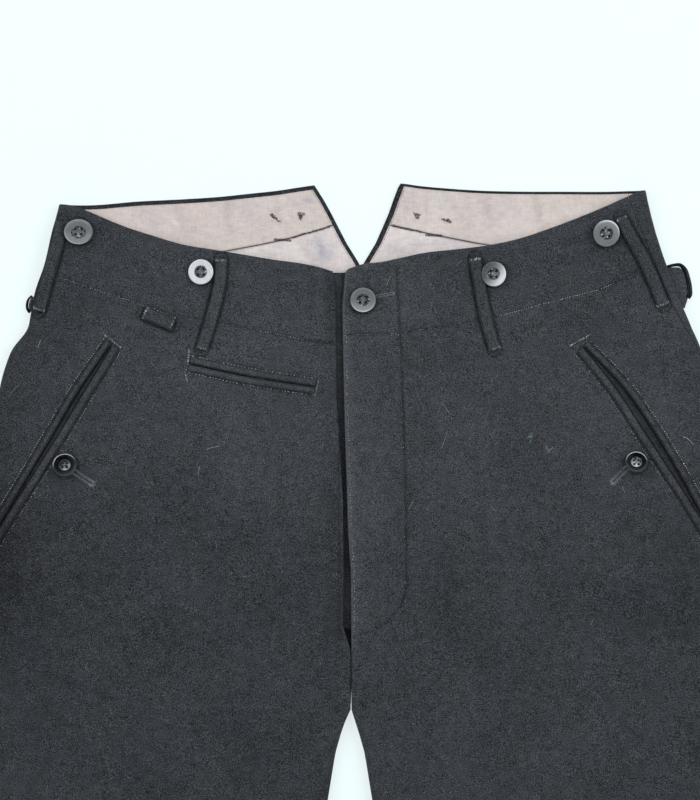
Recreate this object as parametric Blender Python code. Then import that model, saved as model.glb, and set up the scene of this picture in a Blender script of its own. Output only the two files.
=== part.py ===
"""Wool knee breeches with a fishtail back, buttoned and laid flat with the front up.

x runs to the wearer's left, y up the garment and z up from the table. Every size below is in
millimetres, and y is measured from the top of the centre front until an object is built.
"""

import math

import bmesh
import bpy
import numpy as np
from mathutils import Matrix, Vector

MM = 0.001

# Cloth
WALL = 2.0  # fulled wool
LINING_WALL = 1.0
SEAM_GAP = 0.3
FLY_WALL = 3.2  # the front turned back on itself along the fly
BAND_WALL = 3.0

# How the layers lie
FOLD_R = 4.0  # outer radius of the fold down each side and each inseam
FRONT_Z = 6.0  # face of the front where it lies on the back
FOLD_RISE = 2.0 * FOLD_R - FRONT_Z
FOLD_REACH = 18.0
LINING_Z = WALL + SEAM_GAP
SHIELD_Z = LINING_Z + LINING_WALL + SEAM_GAP
SHIELD_WALL = 1.4
FLY_RISE_LEFT = SHIELD_Z + SHIELD_WALL + SEAM_GAP + FLY_WALL - FRONT_Z
FLY_RISE_RIGHT = SHIELD_Z + SHIELD_WALL + SEAM_GAP + WALL - FRONT_Z
FLY_EDGE_LEFT = (39.0, 56.0)  # distance out over which the fly's thickness fades
FLY_EDGE_RIGHT = (22.0, 40.0)

# Lengths down the garment
BACK_PEAK_Y = 55.4
FLY_END_Y = -238.0
FORK_Y = -292.0
LEG_END_Y = -610.0
HEM_Y = -640.0
MIDDLE_Y = (BACK_PEAK_Y + HEM_Y) / 2

RIGHT, LEFT = 1, 2  # the wearer's sides, which are also the columns of the tables below
SIGN = {RIGHT: -1.0, LEFT: 1.0}
SIDE_NAME = {RIGHT: "right", LEFT: "left"}

# y, then how far the side edge stands out from the middle: wearer's right, wearer's left
SIDE_EDGE = (
    (60.0, 189.5, 191.5),
    (42.0, 191.6, 195.8),
    (24.0, 196.4, 200.8),
    (2.5, 201.4, 207.9),
    (-16.5, 208.0, 215.0),
    (-30.0, 210.4, 220.8),
    (-40.0, 212.4, 225.0),
    (-54.0, 222.6, 230.8),
    (-66.0, 227.4, 235.2),
    (-85.0, 232.5, 241.0),
    (-130.0, 249.0, 254.0),
    (-190.0, 270.0, 271.0),
    (-250.0, 281.0, 281.0),
    (-305.0, 280.5, 280.5),
    (-360.0, 271.0, 271.0),
    (-430.0, 255.0, 255.0),
    (-500.0, 241.0, 241.0),
    (-560.0, 229.0, 229.0),
    (-610.0, 220.5, 220.5),
    (-640.0, 217.5, 217.5),
)
# distance out from the middle, then y of the front's top edge: right, left
FRONT_TOP_EDGE = (
    (-5.0, -2.6, -2.6),
    (3.0, -2.6, 1.2),
    (10.0, -2.4, 3.0),
    (20.0, -0.6, 3.9),
    (33.0, 2.6, 6.6),
    (50.0, 5.5, 10.2),
    (70.0, 8.9, 12.4),
    (90.0, 12.2, 14.9),
    (110.0, 15.5, 19.0),
    (130.0, 21.3, 25.5),
    (150.0, 27.9, 33.0),
    (172.0, 37.1, 42.6),
    (182.0, 40.9, 47.4),
    (192.0, 42.2, 51.2),
    (200.0, 42.4, 51.6),
)
# distance out from the middle, then y of the back's top edge: right, left
BACK_TOP_EDGE = (
    (20.0, 54.8, 55.4),
    (34.0, 52.2, 55.4),
    (46.0, 50.4, 53.5),
    (66.0, 48.2, 51.6),
    (86.0, 46.2, 50.2),
    (110.0, 44.6, 49.6),
    (140.0, 43.2, 49.5),
    (172.0, 41.0, 49.6),
    (182.0, 41.2, 50.4),
    (192.0, 42.2, 51.2),
    (200.0, 42.4, 51.6),
)
# y, then where each back piece stops towards the middle: the notch, the seat seam, the inseam
BACK_INNER = (
    (56.0, 25.6, 34.6),
    (54.0, 24.4, 32.4),
    (36.0, 13.2, 26.8),
    (16.5, 3.3, 18.4),
    (1.0, -6.4, 6.8),
    (-240.0, -2.4, 2.7),
    (-292.0, -0.55, 0.85),
    (-298.0, 2.5, 2.8),
    (-306.0, 5.5, 5.5),
    (-320.0, 9.5, 9.5),
    (-360.0, 16.0, 16.0),
    (-430.0, 24.0, 24.0),
    (-500.0, 31.0, 31.0),
    (-560.0, 37.0, 37.0),
    (-640.0, 44.5, 44.5),
)
# y, then where each front piece stops towards the middle: the fly, the front seam, the inseam
FRONT_INNER = (
    (3.2, 11.6, 9.0),
    (1.6, 11.6, 3.6),
    (0.0, 11.4, -0.6),
    (-2.6, 11.2, -3.2),
    (-25.0, 9.4, -4.6),
    (-53.0, 9.2, -4.0),
    (-87.0, 8.8, -3.2),
    (-153.0, 4.6, 0.0),
    (-200.0, 4.2, 0.5),
    (-236.0, 4.6, 0.7),
    (-252.0, -0.4, 0.85),
) + BACK_INNER[6:]
# y, then how far round from the side edge the side seam lies: right, left
SIDE_SEAM = (
    (52.0, -0.8, 15.4),
    (13.0, -0.8, 10.4),
    (-23.0, -0.8, 8.9),
    (-53.0, -0.8, 4.8),
    (-80.0, -0.8, 0.4),
    (-110.0, -0.8, -0.8),
    (-640.0, -0.8, -0.8),
)
# Largest folds of the front: x and y of each end, half width, rise (below nought is a trough)
FOLDS = (
    (-117.0, -84.0, -104.0, -118.0, 13.0, 1.6),
    (-104.0, -118.0, -58.0, -170.0, 15.0, 2.2),
    (-114.0, -104.0, -84.0, -152.0, 9.0, -1.2),
    (-84.0, -152.0, -42.0, -180.0, 10.0, -1.3),
    (-24.0, 0.0, -25.0, -48.0, 8.0, 1.0),
    (99.0, -146.0, 140.0, -153.0, 13.0, -1.2),
    (140.0, -153.0, 172.0, -136.0, 12.0, -1.0),
    (92.0, -112.0, 140.0, -124.0, 20.0, 1.6),
    (60.0, -188.0, 84.0, -262.0, 8.0, -1.4),
    (92.0, -196.0, 110.0, -262.0, 15.0, 2.2),
    (-216.0, -192.0, -196.0, -234.0, 13.0, -1.2),
    (-196.0, -206.0, -176.0, -268.0, 16.0, 2.0),
    (-20.0, -284.0, -96.0, -246.0, 9.0, -1.2),
    (-30.0, -306.0, -120.0, -282.0, 13.0, 2.0),
    (30.0, -300.0, 118.0, -290.0, 11.0, 1.8),
    (-232.0, -452.0, -150.0, -486.0, 12.0, 1.6),
    (-214.0, -512.0, -120.0, -526.0, 10.0, -1.1),
    (228.0, -470.0, 150.0, -494.0, 12.0, 1.5),
    (206.0, -540.0, 116.0, -520.0, 10.0, -1.1),
)

# Belt loops: name, then the middle line from its upper bar to its lower one
LOOP_WIDTH, LOOP_WALL = 7.8, 1.6
BELT_LOOPS = (
    ("belt_loop_side_right", ((-190.0, 30.5), (-192.2, 18.5), (-198.2, -3.0), (-205.2, -28.5))),
    ("belt_loop_front_right", ((-84.9, 6.0), (-85.8, -8.6), (-92.2, -35.6), (-97.9, -54.1))),
    ("belt_loop_front_left", ((82.6, 6.5), (86.6, -17.8), (90.0, -34.0), (95.7, -54.1))),
    ("belt_loop_side_left", ((178.6, 33.5), (183.2, 24.6), (194.4, 4.3), (207.0, -25.0))),
)
FOB_LOOP = ((-136.0, -29.5), (-116.5, -37.5))
FOB_LOOP_WIDTH = 8.0

# Pockets: the slit's line, and the welt along each side of it
WELT_WALL, SLIT = 1.4, 0.8
FOB_POCKET = ((-105.6, -63.4), (-68.6, -71.3), (-23.1, -78.5))
FOB_WELT = 4.4
SIDE_POCKETS = {
    RIGHT: ((-157.9, -50.4), (-180.5, -83.5), (-196.5, -110.8), (-212.1, -137.1), (-240.0, -184.0)),
    LEFT: ((154.2, -51.7), (180.1, -78.5), (199.9, -106.9), (216.9, -135.2), (243.0, -184.0)),
}
SIDE_WELT, FRONT_WELT = 3.7, 4.6
FACING_WALL = 1.0
# How wide the pocket gapes at most, and how far down its length that is
GAPE = {RIGHT: (2.4, 0.30), LEFT: (4.6, 0.42)}

# Buttons: name, x, y, radius, how high it stands off the cloth
BRACE_BUTTONS = (
    ("brace_button_outer_right", -178.9, 23.8, 9.5, 2.4),
    ("brace_button_inner_right", -98.4, -2.6, 8.3, 0.9),
    ("brace_button_inner_left", 94.8, -4.0, 8.2, 2.4),
    ("brace_button_outer_left", 169.0, 22.8, 8.9, 0.9),
    ("waist_button", 8.6, -21.1, 8.4, 0.9),
)
POCKET_BUTTONS = (
    ("pocket_button_right", -188.1, -130.0, 8.0, 0.9),
    ("pocket_button_left", 188.8, -128.0, 7.4, 0.9),
)
KNEE_BUTTON_R = 7.4
BUTTON_SIDES = 18
BUTTON_H = 2.5

# Fly shield: its edges, both ways out from the middle
SHIELD_X = (-15.0, 32.0)
SHIELD_TOP_Y = -3.0

# Knee band: where its two ends lie, measured round from the side edge, and the ramp between
BAND_UNDER_END, BAND_OVER_END = 40.0, 64.0
BAND_RAMP = (16.0, 36.0)
BAND_LIFT = 1.0

QUARTER = FOLD_R * math.pi / 2


def along(table, column, where):
    """Smooth curve through one column of a table, against its first column."""
    rows = np.array(sorted(table))
    at, value = rows[:, 0], rows[:, column]
    slope = np.gradient(value, at)
    where = np.clip(where, at[0], at[-1])
    i = np.clip(np.searchsorted(at, where) - 1, 0, len(at) - 2)
    span = at[i + 1] - at[i]
    t = (where - at[i]) / span
    start = value[i] * (1 + 2 * t) * (1 - t) ** 2 + slope[i] * span * t * (1 - t) ** 2
    end = value[i + 1] * (3 - 2 * t) * t**2 - slope[i + 1] * span * (1 - t) * t**2
    return start + end


def straight(table, column, where):
    rows = np.array(sorted(table))
    return np.interp(where, rows[:, 0], rows[:, column])


def ease(low, high, value):
    """0 below low, 1 above high and a smooth step between."""
    t = np.clip((value - low) / (high - low), 0, 1)
    return t * t * (3 - 2 * t)


def side_edge(side, y):
    return along(SIDE_EDGE, side, y)


def legs(y):
    """0 above the fork and 1 in the legs, where the inseams are folded."""
    return 1 - ease(FORK_Y - 12, FORK_Y + 2, y)


def folds(x, y):
    rise = 0.0
    for x0, y0, x1, y1, width, height in FOLDS:
        dx, dy = x1 - x0, y1 - y0
        t = np.clip(((x - x0) * dx + (y - y0) * dy) / (dx * dx + dy * dy), 0, 1)
        away = np.hypot(x - x0 - t * dx, y - y0 - t * dy)
        rise = rise + height * np.exp(-((away / width) ** 2))
    return rise


def fly_rise(x, y):
    """Extra height where the fly's layers lie under the front."""
    left = FLY_RISE_LEFT * (1 - ease(*FLY_EDGE_LEFT, x)) * (x > -7)
    right = FLY_RISE_RIGHT * (1 - ease(*FLY_EDGE_RIGHT, -x)) * (x <= -7)
    return (left + right) * ease(FLY_END_Y - 26, FLY_END_Y - 4, y)


def front_z(x, y):
    """Height of the front's face, away from the folds at its edges."""
    side = np.where(x < 0, RIGHT, LEFT)
    out = np.abs(x)
    edge = np.where(side == RIGHT, side_edge(RIGHT, y), side_edge(LEFT, y))
    inner = straight(BACK_INNER, LEFT, y)
    from_edge = np.maximum(edge - FOLD_R - out, 0) / FOLD_REACH
    from_inner = np.maximum(out - inner - FOLD_R, 0) / FOLD_REACH
    rise = FOLD_RISE * (np.exp(-(from_edge**2)) + legs(y) * np.exp(-(from_inner**2)))
    calm = 1 - np.exp(-((np.maximum(edge - FOLD_R - out, 0) / 9.0) ** 2))
    return FRONT_Z + rise + calm * folds(x, y) + fly_rise(x, y)


def face_z(x, y, lift=0.0):
    """Height above the table of a point that lies `lift` off the front's face, folds included."""
    x, y = np.asarray(x, float), np.asarray(y, float)
    out = np.abs(x)
    edge = np.where(x < 0, side_edge(RIGHT, y), side_edge(LEFT, y))
    centre = edge - FOLD_R
    over = np.clip(out - centre, 0, None)
    round_z = FOLD_R + np.sqrt(np.maximum((FOLD_R + lift) ** 2 - over**2, 0))
    return np.where(over > 0, round_z, front_z(x, y) + lift)


def way_round(side, table, y):
    """Length of the wall from the side edge to its inner end."""
    return side_edge(side, y) - straight(table, side, y) - 2 * FOLD_R + 2 * QUARTER


def wall_point(side, table, y, way, depth):
    """Point `depth` inside the outer face, `way` round from the side edge: + over, - under."""
    edge, inner = side_edge(side, y), straight(table, side, y)
    up = np.where(way >= 0, 1.0, -1.0)
    gone = np.abs(way)
    left = way_round(side, table, y) - gone
    turn_out = np.clip(gone / FOLD_R, 0, math.pi / 2)
    turn_in = np.clip(left / FOLD_R, 0, math.pi / 2)
    flat_out = np.where(
        left < QUARTER, inner + FOLD_R * left / QUARTER, edge - FOLD_R - (gone - QUARTER)
    )
    flat_z = np.where(up > 0, front_z(SIGN[side] * flat_out, y) - depth, depth)
    fork = legs(y) * (left < QUARTER)
    in_out = inner + FOLD_R - (FOLD_R - depth) * np.cos(turn_in)
    in_z = FOLD_R + up * (FOLD_R - depth) * np.sin(turn_in)
    out = flat_out + fork * (in_out - flat_out)
    z = flat_z + fork * (in_z - flat_z)
    rounding = gone < QUARTER
    out = np.where(rounding, edge - FOLD_R + (FOLD_R - depth) * np.cos(turn_out), out)
    z = np.where(rounding, FOLD_R + up * (FOLD_R - depth) * np.sin(turn_out), z)
    return np.stack([SIGN[side] * out, y, z], axis=-1)


# ---------------------------------------------------------------- solids


def new_material(name, colour, roughness, metallic=0.0):
    material = bpy.data.materials.new(name)
    material.use_nodes = True
    shader = material.node_tree.nodes["Principled BSDF"]
    shader.inputs["Base Color"].default_value = (*colour, 1.0)
    shader.inputs["Roughness"].default_value = roughness
    shader.inputs["Metallic"].default_value = metallic
    return material


def add_object(name, work, material):
    """One closed object from a bmesh in millimetres, its middle moved to the origin."""
    bmesh.ops.recalc_face_normals(work, faces=work.faces)
    for vertex in work.verts:
        vertex.co.y -= MIDDLE_Y
        vertex.co *= MM
    mesh = bpy.data.meshes.new(name)
    work.to_mesh(mesh)
    work.free()
    mesh.shade_smooth()
    mesh.set_sharp_from_angle(angle=math.radians(40))
    mesh.materials.append(material)
    placed = bpy.data.objects.new(name, mesh)
    bpy.context.scene.collection.objects.link(placed)
    return placed


def add_wall(name, outer, inner, material):
    """Closed wall between two grids of points, each rows x columns x 3."""
    work = bmesh.new()
    rows, columns = outer.shape[:2]
    sheets = [[[work.verts.new(point) for point in row] for row in grid] for grid in (outer, inner)]
    top, under = sheets
    for i in range(rows - 1):
        for j in range(columns - 1):
            for sheet in sheets:
                corners = (sheet[i][j], sheet[i][j + 1], sheet[i + 1][j + 1], sheet[i + 1][j])
                work.faces.new(corners)
    ring = [(0, j) for j in range(columns)] + [(i, columns - 1) for i in range(1, rows)]
    ring += [(rows - 1, j) for j in range(columns - 2, -1, -1)]
    ring += [(i, 0) for i in range(rows - 2, 0, -1)]
    for (i, j), (k, m) in zip(ring, ring[1:] + ring[:1]):
        work.faces.new((top[i][j], top[k][m], under[k][m], under[i][j]))
    return add_object(name, work, material)


# ---------------------------------------------------------------- fronts and backs

YOKE_Y = -72.0  # above this the rows bend to follow the top edge
YOKE_ROWS = (1.0, 0.93, 0.85, 0.77, 0.69, 0.6, 0.51, 0.43, 0.35, 0.27, 0.19, 0.1)
STRAIGHT_ROWS = (
    YOKE_Y, -88.0, -108.0, -130.0, -154.0, -178.0, -204.0, -228.0, -246.0, -262.0, -280.0,
    FORK_Y, -297.0, -304.0, -314.0, -332.0, -360.0, -400.0, -440.0, -480.0, -520.0, -565.0,
    LEG_END_Y,
)  # fmt: skip
FRONT_FLAT_COLUMNS = 12
FLY_CLOSENESS = 1.35  # over 1, the front's columns crowd towards the fly
BACK_FLAT_COLUMNS = 5
FOLD_COLUMNS = 3


def front_ways(side, y):
    """Ways round the front's columns, from the side seam in to the fly or the inseam."""
    start = along(SIDE_SEAM, side, y) + SEAM_GAP / 2
    end = way_round(side, FRONT_INNER, y)
    step = QUARTER / FOLD_COLUMNS
    near = [start + k * step for k in range(FOLD_COLUMNS + 1)]
    far = [end - k * step for k in range(FOLD_COLUMNS, 0, -1)] + [end - SEAM_GAP / 2]
    flat = [
        near[-1] + (far[0] - near[-1]) * (1 - (1 - k / FRONT_FLAT_COLUMNS) ** FLY_CLOSENESS)
        for k in range(1, FRONT_FLAT_COLUMNS)
    ]
    return near + flat + far


def back_ways(side, y):
    """Ways round the back's columns, from the side seam under the edge and in to the middle."""
    start = along(SIDE_SEAM, side, y) - SEAM_GAP / 2
    end = -way_round(side, BACK_INNER, y)
    turns = FOLD_COLUMNS if side == RIGHT else 2 * FOLD_COLUMNS + 1
    near = [start + (-QUARTER - start) * k / turns for k in range(turns + 1)]
    step = QUARTER / FOLD_COLUMNS
    far = [end + k * step for k in range(FOLD_COLUMNS, 0, -1)] + [end + SEAM_GAP / 2]
    flat = [
        near[-1] + (far[0] - near[-1]) * k / BACK_FLAT_COLUMNS for k in range(1, BACK_FLAT_COLUMNS)
    ]
    return near + flat + far


def panel_rows(side, inner_table, top_table, ways, wall):
    """Outer and inner point grids of one panel, its upper rows bent to the top edge."""
    outer, inner = [], []
    columns = len(ways(side, np.array(0.0)))
    plans = [("bent", share) for share in YOKE_ROWS] + [("level", y) for y in STRAIGHT_ROWS]
    for kind, value in plans:
        y = np.full(columns, YOKE_Y if kind == "bent" else value)
        for _ in range(12 if kind == "bent" else 1):
            way = np.array([ways(side, y[j])[j] for j in range(columns)])
            points = wall_point(side, inner_table, y, way, 0.0)
            if kind == "bent":
                out = np.abs(points[:, 0]) * np.sign(points[:, 0] * SIGN[side])
                y = YOKE_Y + value * (along(top_table, side, out) - YOKE_Y)
        way = np.array([ways(side, y[j])[j] for j in range(columns)])
        points = wall_point(side, inner_table, y, way, 0.0)
        outer.append(points)
        inner.append(wall_point(side, inner_table, y, way, wall(points[:, 0], y)))
    return np.array(outer), np.array(inner)


def plain_wall(x, y):
    return np.full(np.shape(x), WALL)


def fly_wall(x, y):
    """The left front is thicker where it is turned back along the fly."""
    turned = (1 - ease(*FLY_EDGE_LEFT, x)) * ease(FLY_END_Y - 26, FLY_END_Y - 4, y)
    return WALL + (FLY_WALL - WALL) * turned


def add_panels(wool):
    for side in (RIGHT, LEFT):
        wall = fly_wall if side == LEFT else plain_wall
        outer, inner = panel_rows(side, FRONT_INNER, FRONT_TOP_EDGE, front_ways, wall)
        add_wall("front_" + SIDE_NAME[side], outer, inner, wool)
        outer, inner = panel_rows(side, BACK_INNER, BACK_TOP_EDGE, back_ways, plain_wall)
        add_wall("back_" + SIDE_NAME[side], outer, inner, wool)


# ---------------------------------------------------------------- cotton inside the waist

FACING_INSET = 2.0  # below the back's top edge
NOTCH_INSET = 4.0  # from the notch, measured level
FACING_OUT = {RIGHT: 178.0, LEFT: 184.0}
FACING_TUCK = 6.0  # how far it runs on under the front
FACING_COLUMNS, FACING_ROWS = 14, 3
LINING_OUT = {RIGHT: 94.0, LEFT: 96.0}
# distance out, then y of the slanting seam between facing and seat lining: right, left
SLANT_SEAM = (
    (0.0, 31.0, 34.0),
    (10.0, 27.7, 32.0),
    (29.0, 22.6, 27.7),
    (44.0, 18.6, 24.4),
    (56.0, 16.0, 21.8),
    (81.0, 11.2, 16.8),
    (100.0, 7.0, 13.0),
    (110.0, 4.0, 9.0),
)


def cotton_grid(side, low, high, reach):
    """Grid over the back between two heights, from the notch out to `reach`."""
    grid = np.zeros((FACING_ROWS + 1, FACING_COLUMNS + 1, 3))
    for i in range(FACING_ROWS + 1):
        for j in range(FACING_COLUMNS + 1):
            out, y = reach * j / FACING_COLUMNS, 20.0
            for _ in range(12):
                start = straight(BACK_INNER, side, y) + NOTCH_INSET
                out = start + (reach - start) * j / FACING_COLUMNS
                y = low(out) + (high(out) - low(out)) * i / FACING_ROWS
            grid[i, j] = (SIGN[side] * out, y, LINING_Z)
    return grid


def add_cotton(cotton):
    for side in (RIGHT, LEFT):

        def tuck(out, side=side):
            return float(along(FRONT_TOP_EDGE, side, out)) - FACING_TUCK

        def slant(out, side=side):
            return float(along(SLANT_SEAM, side, out))

        def facing_low(out):
            return max(tuck(out), slant(out) + SEAM_GAP) if out < 108 else tuck(out)

        def facing_high(out, side=side):
            return float(along(BACK_TOP_EDGE, side, out)) - FACING_INSET

        pieces = (
            ("waist_facing_", facing_low, facing_high, FACING_OUT[side]),
            ("seat_lining_", tuck, slant, LINING_OUT[side]),
        )
        for name, low, high, reach in pieces:
            grid = cotton_grid(side, low, high, reach)
            top = grid + np.array([0, 0, LINING_WALL])
            add_wall(name + SIDE_NAME[side], top, grid, cotton)


# ---------------------------------------------------------------- pieces that lie on the front


def smooth_route(points, steps):
    """Evenly spaced points on a smooth curve through a few."""
    points = np.array(points, float)
    reach = np.concatenate([[0], np.cumsum(np.hypot(*np.diff(points, axis=0).T))])
    t = np.linspace(0, reach[-1], steps + 1)
    if len(points) == 2:
        return np.stack([np.interp(t, reach, points[:, k]) for k in (0, 1)], axis=-1)
    table = [(reach[i], *points[i]) for i in range(len(points))]
    return np.stack([along(table, k, t) for k in (1, 2)], axis=-1)


def sideways(route):
    """Unit vectors to the left of a route."""
    ahead = np.gradient(route, axis=0)
    ahead /= np.linalg.norm(ahead, axis=1, keepdims=True)
    return np.stack([-ahead[:, 1], ahead[:, 0]], axis=-1)


def add_strip(name, route, offsets, wall, material, arch=0.0, crown=0.0, columns=3):
    """Strip of cloth on the front; offsets are its two edges, to the left of the route."""
    left = sideways(route)
    edges = [np.broadcast_to(np.asarray(offset, float), len(route)) for offset in offsets]
    across = np.linspace(*edges, columns, axis=-1)
    plan = route[:, None, :] + left[:, None, :] * across[..., None]
    bow = np.sin(np.pi * np.linspace(0, 1, len(route)))[:, None] * arch
    low = SEAM_GAP + bow + np.zeros(plan.shape[:2])
    high = low + wall + crown * np.sin(np.pi * np.linspace(0, 1, columns))
    grids = [
        np.concatenate([plan, face_z(plan[..., 0], plan[..., 1], lift)[..., None]], axis=-1)
        for lift in (high, low)
    ]
    add_wall(name, grids[0], grids[1], material)


def add_loops(wool):
    half = LOOP_WIDTH / 2
    for name, points in BELT_LOOPS:
        route = smooth_route(points, 10)
        on_edge = name == "belt_loop_side_right"
        columns = 6 if on_edge else 3
        add_strip(name, route, (-half, half), LOOP_WALL, wool, 0.5, 0.3, columns)
    half = FOB_LOOP_WIDTH / 2
    add_strip("fob_loop", smooth_route(FOB_LOOP, 4), (-half, half), LOOP_WALL, wool, arch=0.4)


def add_pockets(wool):
    half = SLIT / 2
    route = smooth_route(FOB_POCKET, 10)
    add_strip("fob_pocket_welt_upper", route, (half, half + FOB_WELT), WELT_WALL, wool)
    add_strip("fob_pocket_welt_lower", route, (-half - FOB_WELT, -half), WELT_WALL, wool)
    for side, points in SIDE_POCKETS.items():
        route = smooth_route(points, 12)
        widest, at = GAPE[side]
        down = np.linspace(0, 1, len(route)) ** (math.log(0.5) / math.log(at))
        gape = SLIT + 0.4 + widest * np.sin(np.pi * down) ** 1.5
        out = SIGN[side]
        add_piece = partial_strip(route, out)
        add_piece(f"side_pocket_side_welt_{SIDE_NAME[side]}", half, half + SIDE_WELT, WELT_WALL, wool)
        add_piece(f"side_pocket_facing_{SIDE_NAME[side]}", half - gape, -half, FACING_WALL, wool)
        inner = half - gape - SEAM_GAP
        add_piece(f"side_pocket_front_welt_{SIDE_NAME[side]}", inner - FRONT_WELT, inner, WELT_WALL, wool)


def partial_strip(route, out):
    """Adds strips along a route that runs down the garment; their edges are measured outwards."""

    def add_piece(name, low, high, wall, material):
        add_strip(name, route, (out * low, out * high), wall, material)

    return add_piece


def add_shield(wool):
    """The button stand of the fly, between the fronts and the back."""
    ys = np.linspace(SHIELD_TOP_Y, FLY_END_Y, 9)
    xs = np.linspace(*SHIELD_X, 3)
    plan = np.stack(np.meshgrid(xs, ys), axis=-1)
    narrow = np.where(plan[..., 1] < FLY_END_Y + 20, 0.8, 1.0)
    plan[..., 0] *= narrow
    low = np.concatenate([plan, np.full((*plan.shape[:2], 1), SHIELD_Z)], axis=-1)
    add_wall("fly_shield", low + np.array([0, 0, SHIELD_WALL]), low, wool)


# ---------------------------------------------------------------- buttons


def add_turned(name, profile, sides, place, material):
    """Solid of revolution from (radius, height) pairs, its first and last on the axis."""
    work = bmesh.new()
    rings = []
    for radius, height in profile[1:-1]:
        angles = [2 * math.pi * k / sides for k in range(sides)]
        rings.append([work.verts.new((radius * math.cos(a), radius * math.sin(a), height)) for a in angles])
    work.faces.new(rings[0])
    work.faces.new(rings[-1])
    for low, high in zip(rings, rings[1:]):
        for k in range(sides):
            n = (k + 1) % sides
            work.faces.new((low[k], low[n], high[n], high[k]))
    bmesh.ops.transform(work, matrix=place, verts=work.verts)
    return add_object(name, work, material)


def button_place(x, y, lift):
    """Matrix that sits a button on the front's face, square to the cloth under it."""
    reach = 7.0
    slope_x = float(face_z(x + reach, y) - face_z(x - reach, y)) / (2 * reach)
    slope_y = float(face_z(x, y + reach) - face_z(x, y - reach)) / (2 * reach)
    up = Vector((-slope_x, -slope_y, 1.0)).normalized()
    turn = up.to_track_quat("Z", "Y").to_matrix().to_4x4()
    foot = Vector((x, y, float(face_z(x, y, lift))))
    return Matrix.Translation(foot) @ turn


def add_button(name, x, y, radius, stand, material, rim, cloth=0.0):
    """Four-hole button on its thread shank, which stands on cloth that is `cloth` thick.

    rim is how wide and how deep the button's edge is turned.
    """
    wide, deep = rim
    shank = stand - SEAM_GAP
    profile = (
        (0.0, -shank),
        (2.4, -shank),
        (2.4, 0.0),
        (radius - 0.8, 0.0),
        (radius, 0.9),
        (radius, BUTTON_H - 0.5),
        (radius - 0.5, BUTTON_H),
        (radius - wide, BUTTON_H),
        (radius - wide - 0.8, BUTTON_H - deep),
        (0.0, BUTTON_H - deep),
    )
    place = button_place(x, y, cloth + stand)
    button = add_turned(name, profile, BUTTON_SIDES, place, material)
    work = bmesh.new()
    spread = 0.2 * radius
    for sx in (-1, 1):
        for sy in (-1, 1):
            made = bmesh.ops.create_cone(
                work, cap_ends=True, segments=6, radius1=0.75, radius2=0.75, depth=BUTTON_H
            )
            centre = (sx * spread, sy * spread, BUTTON_H / 2 + 0.4)
            bmesh.ops.translate(work, verts=made["verts"], vec=centre)
    bmesh.ops.transform(work, matrix=place, verts=work.verts)
    cutter = add_object(name + "_holes", work, material)
    cutter.hide_render = True
    cutter.display_type = "WIRE"
    holes = button.modifiers.new("holes", "BOOLEAN")
    holes.operation = "DIFFERENCE"
    holes.object = cutter


def add_buttons(horn, glossy):
    for name, x, y, radius, stand in BRACE_BUTTONS:
        add_button(name, x, y, radius, stand, horn, (2.4, 0.7))
    for name, x, y, radius, stand in POCKET_BUTTONS:
        add_button(name, x, y, radius, stand, glossy, (1.6, 1.0))


# ---------------------------------------------------------------- side cinches

# y of each station down the tab, then how far its end stands out from the middle
CINCH_TABS = {
    LEFT: ((3.0, 217.5), (0.0, 220.2), (-6.0, 223.2), (-13.0, 224.9), (-19.0, 224.6), (-22.5, 222.6)),
    RIGHT: ((-19.2, 210.4), (-21.5, 211.9), (-25.0, 212.6), (-28.5, 212.2), (-29.6, 211.6)),
}
CINCH_BUCKLES = {
    LEFT: ((210.5, 5.0), (217.6, 5.6), (222.6, 2.2), (225.8, -6.0), (227.4, -14.0), (226.4, -20.6), (222.6, -24.6)),
    RIGHT: ((209.6, -16.2), (212.2, -19.4), (214.0, -24.8), (213.4, -29.2), (211.8, -31.6)),
}
BUCKLE_WIRE = {LEFT: 1.2, RIGHT: 0.8}
TAB_Z, TAB_WALL = 0.6, 1.6


def add_cinches(wool, black):
    """A cloth tab under each side edge and the wire buckle in its end."""
    for side in (RIGHT, LEFT):
        rows = []
        for y, tip in CINCH_TABS[side]:
            root = float(side_edge(side, y)) + 0.15
            rows.append([(SIGN[side] * (root + (tip - root) * k / 2), y, TAB_Z) for k in range(3)])
        low = np.array(rows)
        high = low + np.array([0, 0, TAB_WALL])
        add_wall("cinch_tab_" + SIDE_NAME[side], high, low, wool)
        route = smooth_route([(SIGN[side] * out, y) for out, y in CINCH_BUCKLES[side]], 14)
        add_wire("cinch_buckle_" + SIDE_NAME[side], route, BUCKLE_WIRE[side], black)


def add_wire(name, route, radius, material):
    curve = bpy.data.curves.new(name, "CURVE")
    curve.dimensions = "3D"
    curve.bevel_depth = radius * MM
    curve.bevel_resolution = 2
    curve.use_fill_caps = True
    spline = curve.splines.new("POLY")
    spline.points.add(len(route) - 1)
    for point, (x, y) in zip(spline.points, route):
        point.co = (x * MM, (y - MIDDLE_Y) * MM, (TAB_Z + TAB_WALL / 2) * MM, 1.0)
    curve.materials.append(material)
    placed = bpy.data.objects.new(name, curve)
    bpy.context.scene.collection.objects.link(placed)


# ---------------------------------------------------------------- knee bands


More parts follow.
